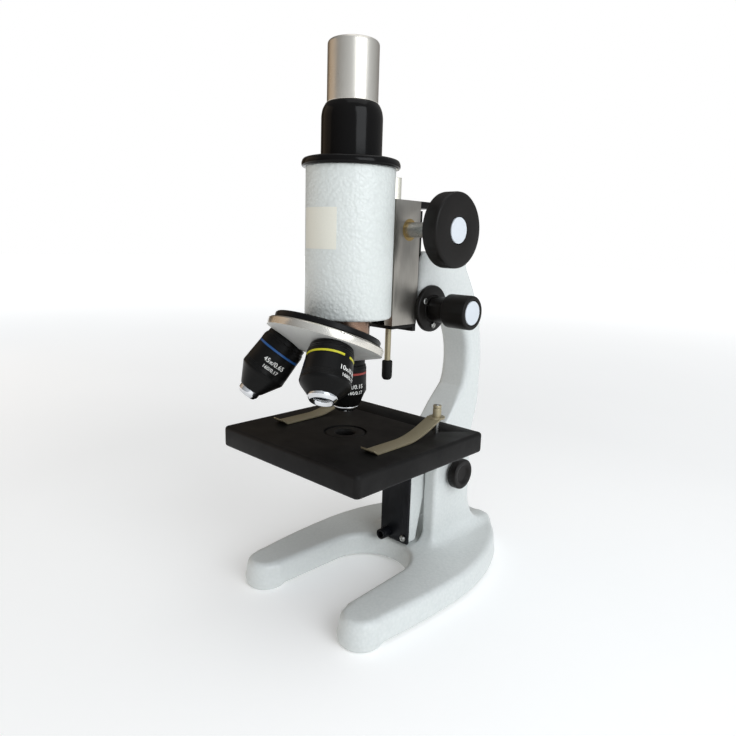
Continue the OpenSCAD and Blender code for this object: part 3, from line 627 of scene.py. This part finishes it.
screws_tree = screw_tree()


def screws(name, points, head_r, head_h, shank_r, shank_l, slot_w, body, node):
    """Slotted steel screws at (place, aim) points, their heads' seats at the places, fitted."""
    sizes = {"Head Radius": head_r * MM, "Head Height": head_h * MM, "Shank Radius": shank_r * MM,
             "Shank Length": shank_l * MM, "Slot Width": slot_w * MM, "Metal": bright_steel}
    fit(grow(name, points, screws_tree, sizes, bright_steel), body, "bright_steel", node)


screws("stage_fixing_screws", [((x, y, screw_seat), (0, 0, -1)) for x, y in stage_screws_at],
       3.6, 2.5, 2.0, 11.0, 0.9, "arm", "stage_screws")


# ---- Specimen clips ----
# Two flat springs, nickelled and gone olive with age, each pressed onto a short sleeve that
# turns and slides on a thin steel post. The free end is bent up so that a slide pushes under it.
post_x, post_y, post_r = 36.3, tube_y + 38.6, 1.35
post_top, collar_low, collar_high = stage_top + 16.8, stage_top + 7.5, stage_top + 16.5
post_places = [Matrix.Translation((side * post_x, post_y, 0)) for side in (-1, 1)]
post = softened([(0, stage_top - 7), (post_r, stage_top - 7), (post_r, post_top, 0.6), (0, post_top)],
                0.1, on_axis=True)
turned("clip_posts_turned", post, bright_steel, post_places, "arm", "bright_steel", "clip_posts", steps=32)
# Nickel silver with years of handling: yellow-green grey, smeared along its length.
old_nickel = machined("dull_nickelled_brass", "#b5ab90", "#8b8168", 0.4, 0.8, (3.0, 0.35, 3.0), 0.6)
collar = softened([(post_r + 0.05, collar_low), (2.5, collar_low, 0.4), (2.5, collar_high - 2.2, 0.1),
                   (2.25, collar_high - 2.0, 0.1), (2.25, collar_high - 1.6, 0.1),
                   (2.5, collar_high - 1.4, 0.1), (2.5, collar_high, 0.6),
                   (post_r + 0.05, collar_high)], 0.2)
for side, place in zip(("left", "right"), post_places):
    eased_copy("spring_clip_" + side, "clip_" + side, old_nickel, 0.22, side + "_clip", "bronze_steel")
    turned("clip_sleeve_" + side, collar, old_nickel, [place], side + "_clip", "bronze_steel",
           "clip_" + side + "_collar", steps=48)


# ---- Diaphragm ----
# A thin blackened sheet-metal disc, punched with five light holes of different sizes. It turns
# on a shouldered steel screw under the stage, so that one hole at a time lies on the axis.
thin_black = black_enamel("blackened_sheet", "#141414", "#242322", 0.45, 0.5, 0.02)
eased_copy("diaphragm", "diaphragm_disc", thin_black, 0.3, "diaphragm", "black_paint")
disc_y = tube_y - 13
disc_low = stage_under - 3.2
screws("diaphragm_pivot_screw", [((0, disc_y, disc_low - 0.2), (0, 0, -1))],
       4.0, 2.0, 1.95, 3.3, 1.0, "arm", "diaphragm_screw")


# ---- Mirror bracket ----
# A bent-off strip of black-painted steel down the front of the column, held by two screws.
# A small round socket at its foot takes the stem of a mirror.
bracket_black = black_enamel("satin_black_bracket_paint", "#0c0d10", "#1a1b1f", 0.36, 0.8, 0.03)
bracket_front, bracket_low, bracket_high = column_y - 2, 17.5, pivot_z + 9.5
eased_copy("mirror_bracket_plate", "mirror_bracket", bracket_black, 0.45, "arm", "black_paint")
screws("bracket_fixing_screws", [((8.1, bracket_front, bracket_low + 3.6), (0, -1, 0)),
                                 ((0, bracket_front, bracket_high - 5), (0, -1, 0))],
       2.1, 1.4, 1.5, 7.0, 0.6, "arm", "bracket_screws")
socket_at = Matrix.Translation((-5.6, bracket_front, bracket_low + 3.8)) @ Matrix.Rotation(pi / 2, 4, "X")
socket = softened([(0, 1), (2.1, 1, 0), (2.1, 6.6, 0.1), (2.4, 7, 0.1), (3.4, 7, 0.6), (3.4, 5.6, 0.1),
                   (3.1, 5.3, 0.1), (3.1, 4.8, 0.1), (3.4, 4.5, 0.1), (3.4, 0, 0.1), (0, 0)],
                  0.2, on_axis=True)
turned("mirror_stem_socket", socket, bracket_black, [socket_at], "arm", "black_paint", "mirror_socket",
       steps=64)


# ---- Fine focusing ----
# The fine shaft runs in two brass bushes through the head. Black turned flanges with three
# small screws each cover the bushes, and the moulded knobs end in white caps.
fine_places = both_ends(fine_y, fine_z)
flange = softened([(3.3, arm_half + 0.02), (14.2, arm_half + 0.02, 0.2), (14.2, arm_half + 2.6, 1.2),
                   (8.4, arm_half + 3, 0.3), (8.2, arm_half + 2.4, 0.2), (7.9, arm_half + 2.4, 0.2),
                   (7.7, arm_half + 3, 0.3), (3.3, arm_half + 3)], 0.3)
turned("fine_shaft_flanges", flange, black_plastic, fine_places, "arm", "black_paint", "fine_flanges")
flange_spots = [(side * (arm_half + 3), fine_y + 10 * cos(radians(a)), fine_z + 10 * sin(radians(a)))
                for side in (1, -1) for a in (30, 150, 270)]
screws("flange_fixing_screws", [(p, (1 if p[0] > 0 else -1, 0, 0)) for p in flange_spots],
       1.8, 1.0, 1.0, 3.0, 0.5, "arm", "flange_screws")
brass = machined("turned_brass", "#b39a68", "#8a744a", 0.3, 0.5, (5.0, 0.6, 0.6))
dress(brass, "fine_bushes", "pinion_bushes")
dress(bright_steel, "fine_shaft")

fine_r, fine_from, fine_end = 10.0, 26.0, 42.9
cap_white = moulded("white_moulded_plastic", "#d2d7dc", "#c9ced4", 0.35, 0.4)
fine_knob = softened([(3.05, arm_half + 4.4), (7.8, arm_half + 4.4, 0.6), (7.8, fine_from - 0.8, 1.0),
                      (8.4, fine_from, 0.4), (fine_r, fine_from + 0.8, 0.8), (fine_r, fine_end, 1.5),
                      (7.5, fine_end, 0.2), (7.2, fine_end - 1.1, 0.1), (3.05, fine_end - 1.1)], 0.4)
turned("fine_knobs_moulded", fine_knob, black_plastic, fine_places,
       "fine_drive", "black_plastic", "fine_knobs")


def cap(end):
    """A white cap pressed into the face of a knob."""
    return softened([(0, end - 1.1), (7.0, end - 1.1, 0.1), (7.0, end + 0.05, 0.3), (0, end + 0.2)],
                    0.3, on_axis=True)


turned("fine_knob_caps", cap(fine_end), cap_white, fine_places, "fine_drive", "white_plastic", "fine_caps")


# ---- Focusing block ----
# A milled aluminium block carries the pinion and guides the tube's dovetail. The cutter went
# up and down it, which leaves long faint vertical lines. A black plate lies behind and under it.
milled_aluminium = machined("satin_milled_aluminium", "#b3afa8", "#8e8a83", 0.36, 1.0, (2.2, 2.2, 0.12))
eased_copy("focusing_block", "focus_block", milled_aluminium, 0.5, "carriage", "satin_aluminium")
block_front, block_back, block_low = -54.9, -33.1, tube_low - 6
guide_black = black_enamel("black_guide_paint", "#0e0e0e", "#1d1c1b", 0.4, 0.7, 0.03)
eased_copy("guide_plate_painted", "guide_plate", guide_black, 0.4, "carriage", "black_paint")
screws("guide_fixing_screws", [((0, block_back + 2.9, block_low + up), (0, 1, 0)) for up in (12, 34)],
       2.8, 2.4, 1.5, 9.5, 0.8, "carriage", "guide_screws")


# ---- Coarse focusing ----
# The ground steel pinion shaft carries a large moulded hand wheel of black plastic at each
# end. A white cap is pressed into the face of each wheel and hides its screw.
pinion_y, pinion_z = -42.5, tube_low + 48.6
dress(bright_steel, "pinion_shaft")
wheel_r, wheel_from, wheel_t = 20.3, 35.7, 9.7
wheel_end = wheel_from + wheel_t
wheel = softened([(4.3, wheel_from - 1.5), (7.0, wheel_from - 1.5, 0.6), (7.2, wheel_from, 0.3),
                  (wheel_r, wheel_from, 1.3), (wheel_r, wheel_end, 1.7), (7.6, wheel_end - 0.1, 0.2),
                  (7.2, wheel_end - 1.1, 0.1), (4.3, wheel_end - 1.1)], 0.4)
wheel_places = both_ends(pinion_y, pinion_z)
turned("coarse_hand_wheels", wheel, black_plastic, wheel_places,
       "coarse_drive", "black_plastic", "coarse_knobs", steps=128)
turned("coarse_wheel_caps", cap(wheel_end), cap_white, wheel_places,
       "coarse_drive", "white_plastic", "coarse_caps")


# ---- Body tube ----
# A drawn tube with a rolled-in lower edge, in white hammer enamel with a finer dimple than the
# castings have. A plain unmarked paper label sits on its front.
white_enamel = hammer_enamel("white_hammer_enamel", "#d6dad7", "#bfc3c0", 1.7, 0.32)
tube_wall = softened([(11.0, tube_low, 0.3), (tube_r, tube_low, 1.8), (tube_r, tube_high, 0.2),
                      (tube_r - 1.6, tube_high, 0.2), (tube_r - 1.6, tube_low + 3, 0.3),
                      (11.0, tube_low + 3, 0.3)], 0.3, steps=5)
turned("body_tube_drawn", tube_wall, white_enamel, at_axis, "tube", "white_paint", "body_tube", steps=144)


def wrapped(name, cells, radius, thick, material, place):
    """Thin patches on a cylinder: each is (angle, half width, low, high) in degrees and mm."""
    points, faces = [], []
    for angle, half, low, high in cells:
        steps = max(2, ceil(2 * half / 3))
        first = len(points)
        for i in range(steps + 1):
            t = radians(angle - half + 2 * half * i / steps)
            for r in (radius, radius + thick):
                points += [place @ Vector((r * cos(t), r * sin(t), h)) for h in (low, high)]
        for a in range(first, first + 4 * steps, 4):
            faces += [(a + p, a + q, a + 4 + q, a + 4 + p) for p, q in ((0, 1), (1, 3), (3, 2), (2, 0))]
        last = first + 4 * steps
        faces += [(first, first + 2, first + 3, first + 1), (last, last + 1, last + 3, last + 2)]
    return closed(name, points, faces, material)


def printed(name, colour, rough):
    """Paper or thin paint, with a slightly uneven film."""
    made, tree, shader, mm = new_material(name, Roughness=rough, IOR=1.45)
    light = [min(1.0, c * 1.12) for c in linear(colour)]
    mix = add(tree, "ShaderNodeMix", {"Factor": noise(tree, mm, 2.0), "A": linear(colour), "B": light},
              data_type="RGBA")
    tree.links.new(mix.outputs["Result"], shader.inputs["Base Color"])
    return made


label_paper = printed("cream_label_paper", "#d8d6ca", 0.45)
label_low, label_high, label_half = 205.0, 226.0, 29.0
label = wrapped("blank_label", [(-90, label_half, label_low, label_high)], tube_r + 0.02, 0.06,
                label_paper, at_axis[0])
fit(label, "tube", "white_paint")


# ---- Tube slide and rack ----
# A brass dovetail bar screwed to the back of the tube. Its rack is hobbed, with a tooth every
# 1.9 mm, so a tree lays one tooth along the bar again and again.
def rack_tree():
    """One tooth, narrower at its tip, on each place of a column."""
    sizes = [("Pitch", "Float"), ("Width", "Float"), ("Height", "Float"), ("Teeth", "Int")]
    tree, given = new_tree("rack_teeth", sizes, "Rack")
    root = add(tree, "ShaderNodeMath", {0: given["Pitch"], 1: 0.58}, operation="MULTIPLY")
    base = add(tree, "GeometryNodeMeshGrid", {"Size X": given["Width"], "Size Y": root.outputs[0],
                                              "Vertices X": 2, "Vertices Y": 2})
    raised = add(tree, "GeometryNodeExtrudeMesh", {"Mesh": base.outputs["Mesh"],
                                                   "Offset Scale": given["Height"]}, mode="FACES")
    tooth = add(tree, "GeometryNodeScaleElements", {"Geometry": raised.outputs["Mesh"],
                                                    "Selection": raised.outputs["Top"], "Scale": 0.36,
                                                    "Axis": (0, 1, 0)}, scale_mode="SINGLE_AXIS")
    step = add(tree, "ShaderNodeCombineXYZ", {"Z": given["Pitch"]})
    line = add(tree, "GeometryNodeMeshLine", {"Count": given["Teeth"], "Offset": step.outputs[0]})
    column = add(tree, "GeometryNodeInstanceOnPoints", {"Points": given["Places"],
                                                        "Instance": line.outputs[0]})
    spots = add(tree, "GeometryNodeRealizeInstances", {"Geometry": column.outputs[0]})
    turn = add(tree, "FunctionNodeEulerToRotation", {"Euler": (-pi / 2, 0, 0)})
    teeth = add(tree, "GeometryNodeInstanceOnPoints", {"Points": spots.outputs[0],
                                                       "Instance": tooth.outputs[0],
                                                       "Rotation": turn.outputs[0]})
    return end_tree(tree, teeth.outputs[0], given["Metal"], "Rack")


def extruded(name, outline, low, high, material, width=0.3):
    """A bar of one outline in X and Y from one height to another, its edges eased."""
    mesh = bpy.data.meshes.new(name)
    bm = bmesh.new()
    bottom = [bm.verts.new((x * MM, y * MM, low * MM)) for x, y in outline]
    top = [bm.verts.new((x * MM, y * MM, high * MM)) for x, y in outline]
    count = len(outline)
    bm.faces.new(bottom[::-1])
    bm.faces.new(top)
    for i in range(count):
        bm.faces.new((bottom[i], bottom[(i + 1) % count], top[(i + 1) % count], top[i]))
    bmesh.ops.recalc_face_normals(bm, faces=bm.faces)
    sharp = [e for e in bm.edges if e.calc_face_angle() > radians(25)]
    bmesh.ops.bevel(bm, geom=sharp, offset=width * MM, segments=2, profile=0.5, affect="EDGES",
                    clamp_overlap=True)
    bm.to_mesh(mesh)
    bm.free()
    return new_piece(name, mesh, material)


tooth_pitch = 0.6 * pi
slide_back, slide_low, slide_high = block_front + 7.06, tube_low + 5, tube_high - 2
bar_outline = ([(4.6, block_front + 2.4), (6.3, block_front + 2.4), (8.3, slide_back),
                (-8.3, slide_back), (-6.3, block_front + 2.4), (-4.6, block_front + 2.4)]
               + [(24.2 * sin(radians(a)), tube_y + 24.2 * cos(radians(a)))
                  for a in (-10.9, -5.5, 0, 5.5, 10.9)])
slide_nickel = machined("worn_nickelled_slide", "#d3d0c6", "#aca899", 0.34, 0.8, (2.5, 2.5, 0.2))
slide_bar = extruded("tube_slide_bar", bar_outline, slide_low, slide_high, slide_nickel, 0.25)
fit(slide_bar, "tube", "bronze_steel", "tube_slide")
first_tooth = ceil((slide_low + 1.5 - pinion_z) / tooth_pitch - 0.5)
last_tooth = int((slide_high - 1.5 - pinion_z) // tooth_pitch)
rack_start = (0, slide_back - 0.05, pinion_z + (first_tooth + 0.5) * tooth_pitch)
rack = grow("rack_teeth_row", [(rack_start, (0, 1, 0))], rack_tree(),
            {"Pitch": tooth_pitch * MM, "Width": 8.8 * MM, "Height": 0.96 * MM,
             "Teeth": last_tooth - first_tooth, "Metal": slide_nickel}, slide_nickel)
fit(rack, "tube", "bronze_steel")
screws("slide_fixing_screws", [((0, tube_y + tube_r - 2.0, z), (0, -1, 0))
                               for z in (slide_low + 15, slide_high - 15)],
       2.8, 1.6, 1.5, 6.5, 0.8, "tube", "slide_screws")


# ---- Top ring and eyepiece sleeve ----
# Both are turned from aluminium and dipped in gloss black lacquer, which rounds every edge.
# The ring plugs into the top of the tube, and the sleeve stands in the ring.
gloss_black = black_enamel("gloss_black_lacquer", "#070606", "#0d0b0a", 0.16, 1.6, 0.02)
ring_r, ring_t = 26.4, 4.9
top_ring = softened([(13.8, tube_high - 4), (22.3, tube_high - 4), (22.3, tube_high, 0.1),
                     (ring_r - 0.4, tube_high, 1.0), (ring_r, tube_high + 1.8, 1.2),
                     (ring_r - 0.8, tube_high + 4.2, 1.2), (ring_r - 3.2, tube_high + ring_t, 1.2),
                     (13.8, tube_high + ring_t)], 0.2, steps=5)
turned("top_ring", top_ring, gloss_black, at_axis, "tube", "gloss_black", "flange_ring", steps=144)
sleeve_low, sleeve_top, sleeve_r, ocular_r = tube_high + ring_t, tube_high + ring_t + 27.4, 16.2, 13.4
sleeve = softened([(11.65, sleeve_low - 4.5), (13.8, sleeve_low - 4.5), (13.8, sleeve_low, 0),
                   (sleeve_r, sleeve_low, 0.4), (sleeve_r, sleeve_top - 6.5, 2.0),
                   (sleeve_r - 0.6, sleeve_top - 3.2, 2.0), (ocular_r + 0.4, sleeve_top, 1.0),
                   (11.65, sleeve_top)], 0.2, steps=6)
turned("eyepiece_sleeve_turned", sleeve, gloss_black, at_axis,
       "tube", "gloss_black", "eyepiece_sleeve", steps=128)


# ---- Up stop ----
# A thin drawn rod of nickelled brass hangs from the slide. The black rubber end pressed onto
# it meets the guide plate when the tube is fully up.
rod_x, rod_y, rod_tip = 4.3, block_front + 4.6, tube_low - 39.2
rod_at = [Matrix.Translation((rod_x, rod_y, 0))]
rod_low, rod_high = rod_tip + 6, slide_low + 6
turned("stop_rod_drawn", [(0, rod_low), (1.8, rod_low), (1.8, rod_high), (0, rod_high)], old_nickel, rod_at,
       "tube", "bronze_steel", "stop_rod", steps=32)
rubber = moulded("black_rubber", "#0b0b0b", "#161514", 0.6, 0.5)
bumper = softened([(0, rod_tip), (2.2, rod_tip + 0.1, 1.0), (3.1, rod_tip + 1.8, 1.2),
                   (3.1, rod_tip + 11.4, 0.9), (2.0, rod_tip + 12, 0.3), (0, rod_tip + 12)],
                  0.5, on_axis=True, steps=5)
turned("stop_rubber", bumper, rubber, rod_at, "tube", "stop_rubber", "stop_tip", steps=48)


# ---- Nosepiece ----
# A brown-lacquered brass neck under the tube holds a tilted black plate. The turret turns
# under it on one bolt: a bright turned rim with three detent notches and a satin grey cone.
tilt = radians(21.6)
apex_z = tube_low + 31.4
turret_place = Matrix.Translation((0, tube_y, apex_z)) @ Matrix.Rotation(pi - tilt, 4, "X")
plate_top = tube_r * sin(tilt) + 31.4 * cos(tilt) + 0.77
rim_top = plate_top + 3.7
rim_low = rim_top + 4.3
hole_land = 10.1 + 1.8
seat = (rim_low + hole_land * tan(tilt)) / cos(tilt)
turret_r = seat * sin(tilt) + hole_land
cone_end = rim_low + (turret_r - 12) * tan(tilt)
lacquered_brass = machined("brown_lacquered_brass", "#a58a78", "#6e5648", 0.22, 1.2, (0.5, 0.5, 5.0))
eased_copy("nosepiece_neck_turned", "nosepiece_neck", lacquered_brass, 0.3, "tube", "bronze_steel")
plate_black = black_enamel("black_plate_lacquer", "#0b0b0c", "#181819", 0.3, 1.2, 0.02)
eased_copy("nosepiece_top_plate", "nosepiece_plate", plate_black, 1.6, "tube", "black_paint", 1)
screws("turret_pivot_bolt", [(turret_place @ Vector((0, 0, cone_end + 0.2)),
                              turret_place.to_3x3() @ Vector((0, 0, 1)))],
       6.5, 2.4, 3.0, cone_end - plate_top, 1.4, "tube", "turret_bolt")
# Bright turned aluminium for the rim; the cone is blasted, so it is grey and much less shiny.
rim_metal = machined("bright_turned_rim", "#f0ede6", "#cfcac0", 0.24, 0.9, (1.0, 1.0, 1.0))
cone_metal = machined("blasted_cone", "#cfcfcc", "#b9b9b5", 0.52, 0.6, (1.0, 1.0, 1.0), 0.35)
turret = eased_copy("turret_turned", "turret_disc", rim_metal, 0.3, "turret", "satin_aluminium")
turret.data.materials.append(cone_metal)
to_turret = turret_place.inverted()
for face in turret.data.polygons:
    spot = to_turret @ (face.center / MM)
    if spot.z > rim_low + 0.2:
        face.material_index = 1


# ---- Objectives ----
# Three turned lens mounts in satin black, screwed into the turret. Each has small white power
# numbers, a colour ring for the power, fine grooves for grip, and a chromed front ring.
objective_black = black_enamel("black_anodised_mount", "#0a0a0a", "#151413", 0.34, 0.5, 0.015)
engraving = printed("white_engraving_paint", "#e8e8e4", 0.5)
chrome = machined("polished_chrome", "#e9eaec", "#c4c6ca", 0.07, 2.0, (1.0, 1.0, 1.0))


def glass(name, tint):
    """Polished optical glass with the faint colour of its anti-reflection coating."""
    made, tree, shader, mm = new_material(name, Roughness=0.02, IOR=1.52)
    shader.inputs["Transmission Weight"].default_value = 1.0
    shader.inputs["Coat Weight"].default_value = 0.6
    tree.links.new(blend(tree, noise(tree, mm, 0.2), tint, "#f4fbff"), shader.inputs["Base Color"])
    return made


coated_glass = glass("coated_lens_glass", "#d9e6f4")


def lettered(name, rows, radius, start, slope, material, place):
    """Raised numbers round a barrel: each row is (text, size, angle, height), reading upright.
    The barrel has the given radius at start and widens by slope below it."""
    points, faces = [], []
    for text, size, angle, height in rows:
        curve = bpy.data.curves.new(name, "FONT")
        curve.body, curve.size, curve.align_x, curve.resolution_u = text, size, "CENTER", 3
        sign = put(name, curve)
        flat = bpy.data.meshes.new_from_object(sign.evaluated_get(bpy.context.evaluated_depsgraph_get()))
        bpy.data.objects.remove(sign)
        first, count = len(points), len(flat.vertices)
        for lift in (0.0, 0.05):
            for v in flat.vertices:
                t = radians(angle) - v.co.x / radius
                r = radius + slope * (height - v.co.y - start) + lift
                points.append(place @ Vector((r * cos(t), r * sin(t), height - v.co.y)))
        uses = {}
        for p in flat.polygons:
            ring = list(p.vertices)
            faces.append([first + count + i for i in ring])
            faces.append([first + i for i in ring[::-1]])
            for key in p.edge_keys:
                uses[key] = uses.get(key, 0) + 1
        faces += [(first + a, first + b, first + count + b, first + count + a)
                  for (a, b), times in uses.items() if times == 1]
    return closed(name, points, faces, material, 0.0005)


def objective(power, k, body_r, swell, swell_at, length, tip_r, tip_h, ring_at, ring_colour, ring_arc,
              rows, facing):
    """One objective, its heights measured down its own axis from its seat on the turret's cone.
    Its rows of numbers are (text, size, turn from its facing side, distance below the ring)."""
    place = turret_place @ Matrix.Rotation(radians(120 * k), 4, "Z") @ Matrix.Rotation(tilt, 4, "X")
    full_r, end, low = body_r + swell, seat + length, seat + swell_at
    ring = seat + ring_at
    barrel = [(0, seat - 6), (10.05, seat - 6, 0.3), (10.05, seat, 0), (body_r - 0.9, seat, 0.3),
              (body_r - 0.9, seat + 2.0, 0.2), (body_r - 0.3, seat + 2.6, 0.2),
              (body_r - 0.3, seat + 3.4, 0.2), (body_r, seat + 3.9, 0.2), (body_r, ring - 0.35, 0),
              (body_r - 0.15, ring - 0.25, 0),
              (body_r - 0.15, ring + 1.35, 0), (body_r, ring + 1.45, 0)]
    taper = swell / (low - ring - 1.45)
    for at in [low - 3.4 + 0.8 * i for i in range(4)]:
        r = full_r - taper * (low - at)
        barrel += [(r, at - 0.2, 0), (r - 0.16, at, 0), (r, at + 0.2, 0)]
    barrel += [(full_r, low + 0.2, 0.3), (full_r - 0.7, low + 1.5, 0.3), (full_r - 1.0, low + 1.9, 0.2),
               (tip_r + 0.9, end - 0.6, 0.4), (tip_r + 0.4, end, 0.2), (tip_r - 1.8, end, 0.2),
               (tip_r - 1.8, end - 3, 0), (0, end - 3)]
    turned(power + "_mount", softened(barrel, 0.2, on_axis=True), objective_black, [place],
           "turret", "black_paint", "objective_" + power)
    paint = printed(power + "_ring_paint", ring_colour, 0.35)
    cells = [(facing + a, half, ring, ring + 1.15) for a, half in ring_arc]
    band = wrapped(power + "_colour_ring", cells, body_r - 0.14, 0.16, paint, place)
    fit(band, "turret", "black_paint")
    numbers = lettered(power + "_numbers", [(text, size, facing + turn, ring + down)
                                            for text, size, turn, down in rows],
                       body_r + 0.02, ring + 1.45, taper, engraving, place)
    fit(numbers, "turret", "white_paint")
    tip = softened([(tip_r - 1.8, end - 2.9, 0), (tip_r - 1.8, end + 0.02, 0), (tip_r, end + 0.02, 0.2),
                    (tip_r, end + tip_h - 1.8, 0.4), (tip_r - 1.3, end + tip_h, 0.3),
                    (tip_r - 1.9, end + tip_h, 0.2), (tip_r - 3.2, end + tip_h - 1.6, 0.2),
                    (tip_r - 3.2, end - 2.9, 0)], 0.2)
    front = turned(power + "_front_ring", tip, chrome, [place], "turret", "chrome_trim", steps=72)
    lens_r = tip_r - 3.25
    lens = turned(power + "_front_lens", [(0, end + tip_h - 2.8), (lens_r, end + tip_h - 2.8),
                                          (lens_r, end + tip_h - 2.0), (lens_r * 0.7, end + tip_h - 1.6),
                                          (lens_r * 0.35, end + tip_h - 1.45), (0, end + tip_h - 1.4)],
                  coated_glass, [place], "turret", "lens_glass", steps=48)
    return front, lens


# Power, place round the turret, barrel radius, swell and where it ends, length, radius and height
# of the front ring, then the colour ring's place, colour and arcs, the numbers, and their side.
fronts = [objective("low", 0, 11.2, 0.3, 17.1, 26.2, 7.0, 2.8, 6.2, "#8e2b22", [(0, 180)],
                    [("5x/0.15", 3.4, 0, 8.6), ("160/0.17", 2.6, 0, 11.8)], 18),
          objective("mid", 1, 12.3, 1.0, 19.8, 26.4, 7.6, 3.0, 6.0, "#b5b022", [(192, 171.5)],
                    [("10x/0.25", 3.6, 0, 8.8), ("160/0.17", 2.7, 0, 12.2)], -128),
          objective("high", -1, 12.3, 0.6, 22.1, 33.2, 6.0, 4.2, 7.2, "#1c4c84", [(0, 180)],
                    [("45x/0.65", 3.6, 0, 7.8), ("160/0.17", 2.7, 0, 11.2)], 150)]
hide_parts("objective_tips")
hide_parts("objective_lenses")


# ---- Eyepiece ----
# A plain aluminium eyepiece, turned in a fine spiral and left satin. It isn't screwed: its
# thinner barrel drops into the sleeve and its shoulder rests on the sleeve's top.
turned_aluminium = machined("satin_turned_aluminium", "#e8e4dc", "#c6c1b7", 0.3, 0.45, (0.5, 0.5, 6.0))
barrel_r, ocular_top = 11.6, sleeve_top + 30
ocular = softened([(10.2, sleeve_top - 26), (barrel_r, sleeve_top - 26, 0.4), (barrel_r, sleeve_top, 0),
                   (ocular_r, sleeve_top + 0.02, 0.4), (ocular_r, ocular_top, 2.6),
                   (8.5, ocular_top, 0.8), (6.6, ocular_top - 1.6, 0.5), (6.5, ocular_top - 3.0, 0),
                   (10.2, ocular_top - 3.0, 0)], 0.3, steps=6)
turned("eyepiece_turned", ocular, turned_aluminium, at_axis,
       "eyepiece", "satin_aluminium", "eyepiece_tube", steps=128)
dress(coated_glass, "eye_lens", "field_lens")
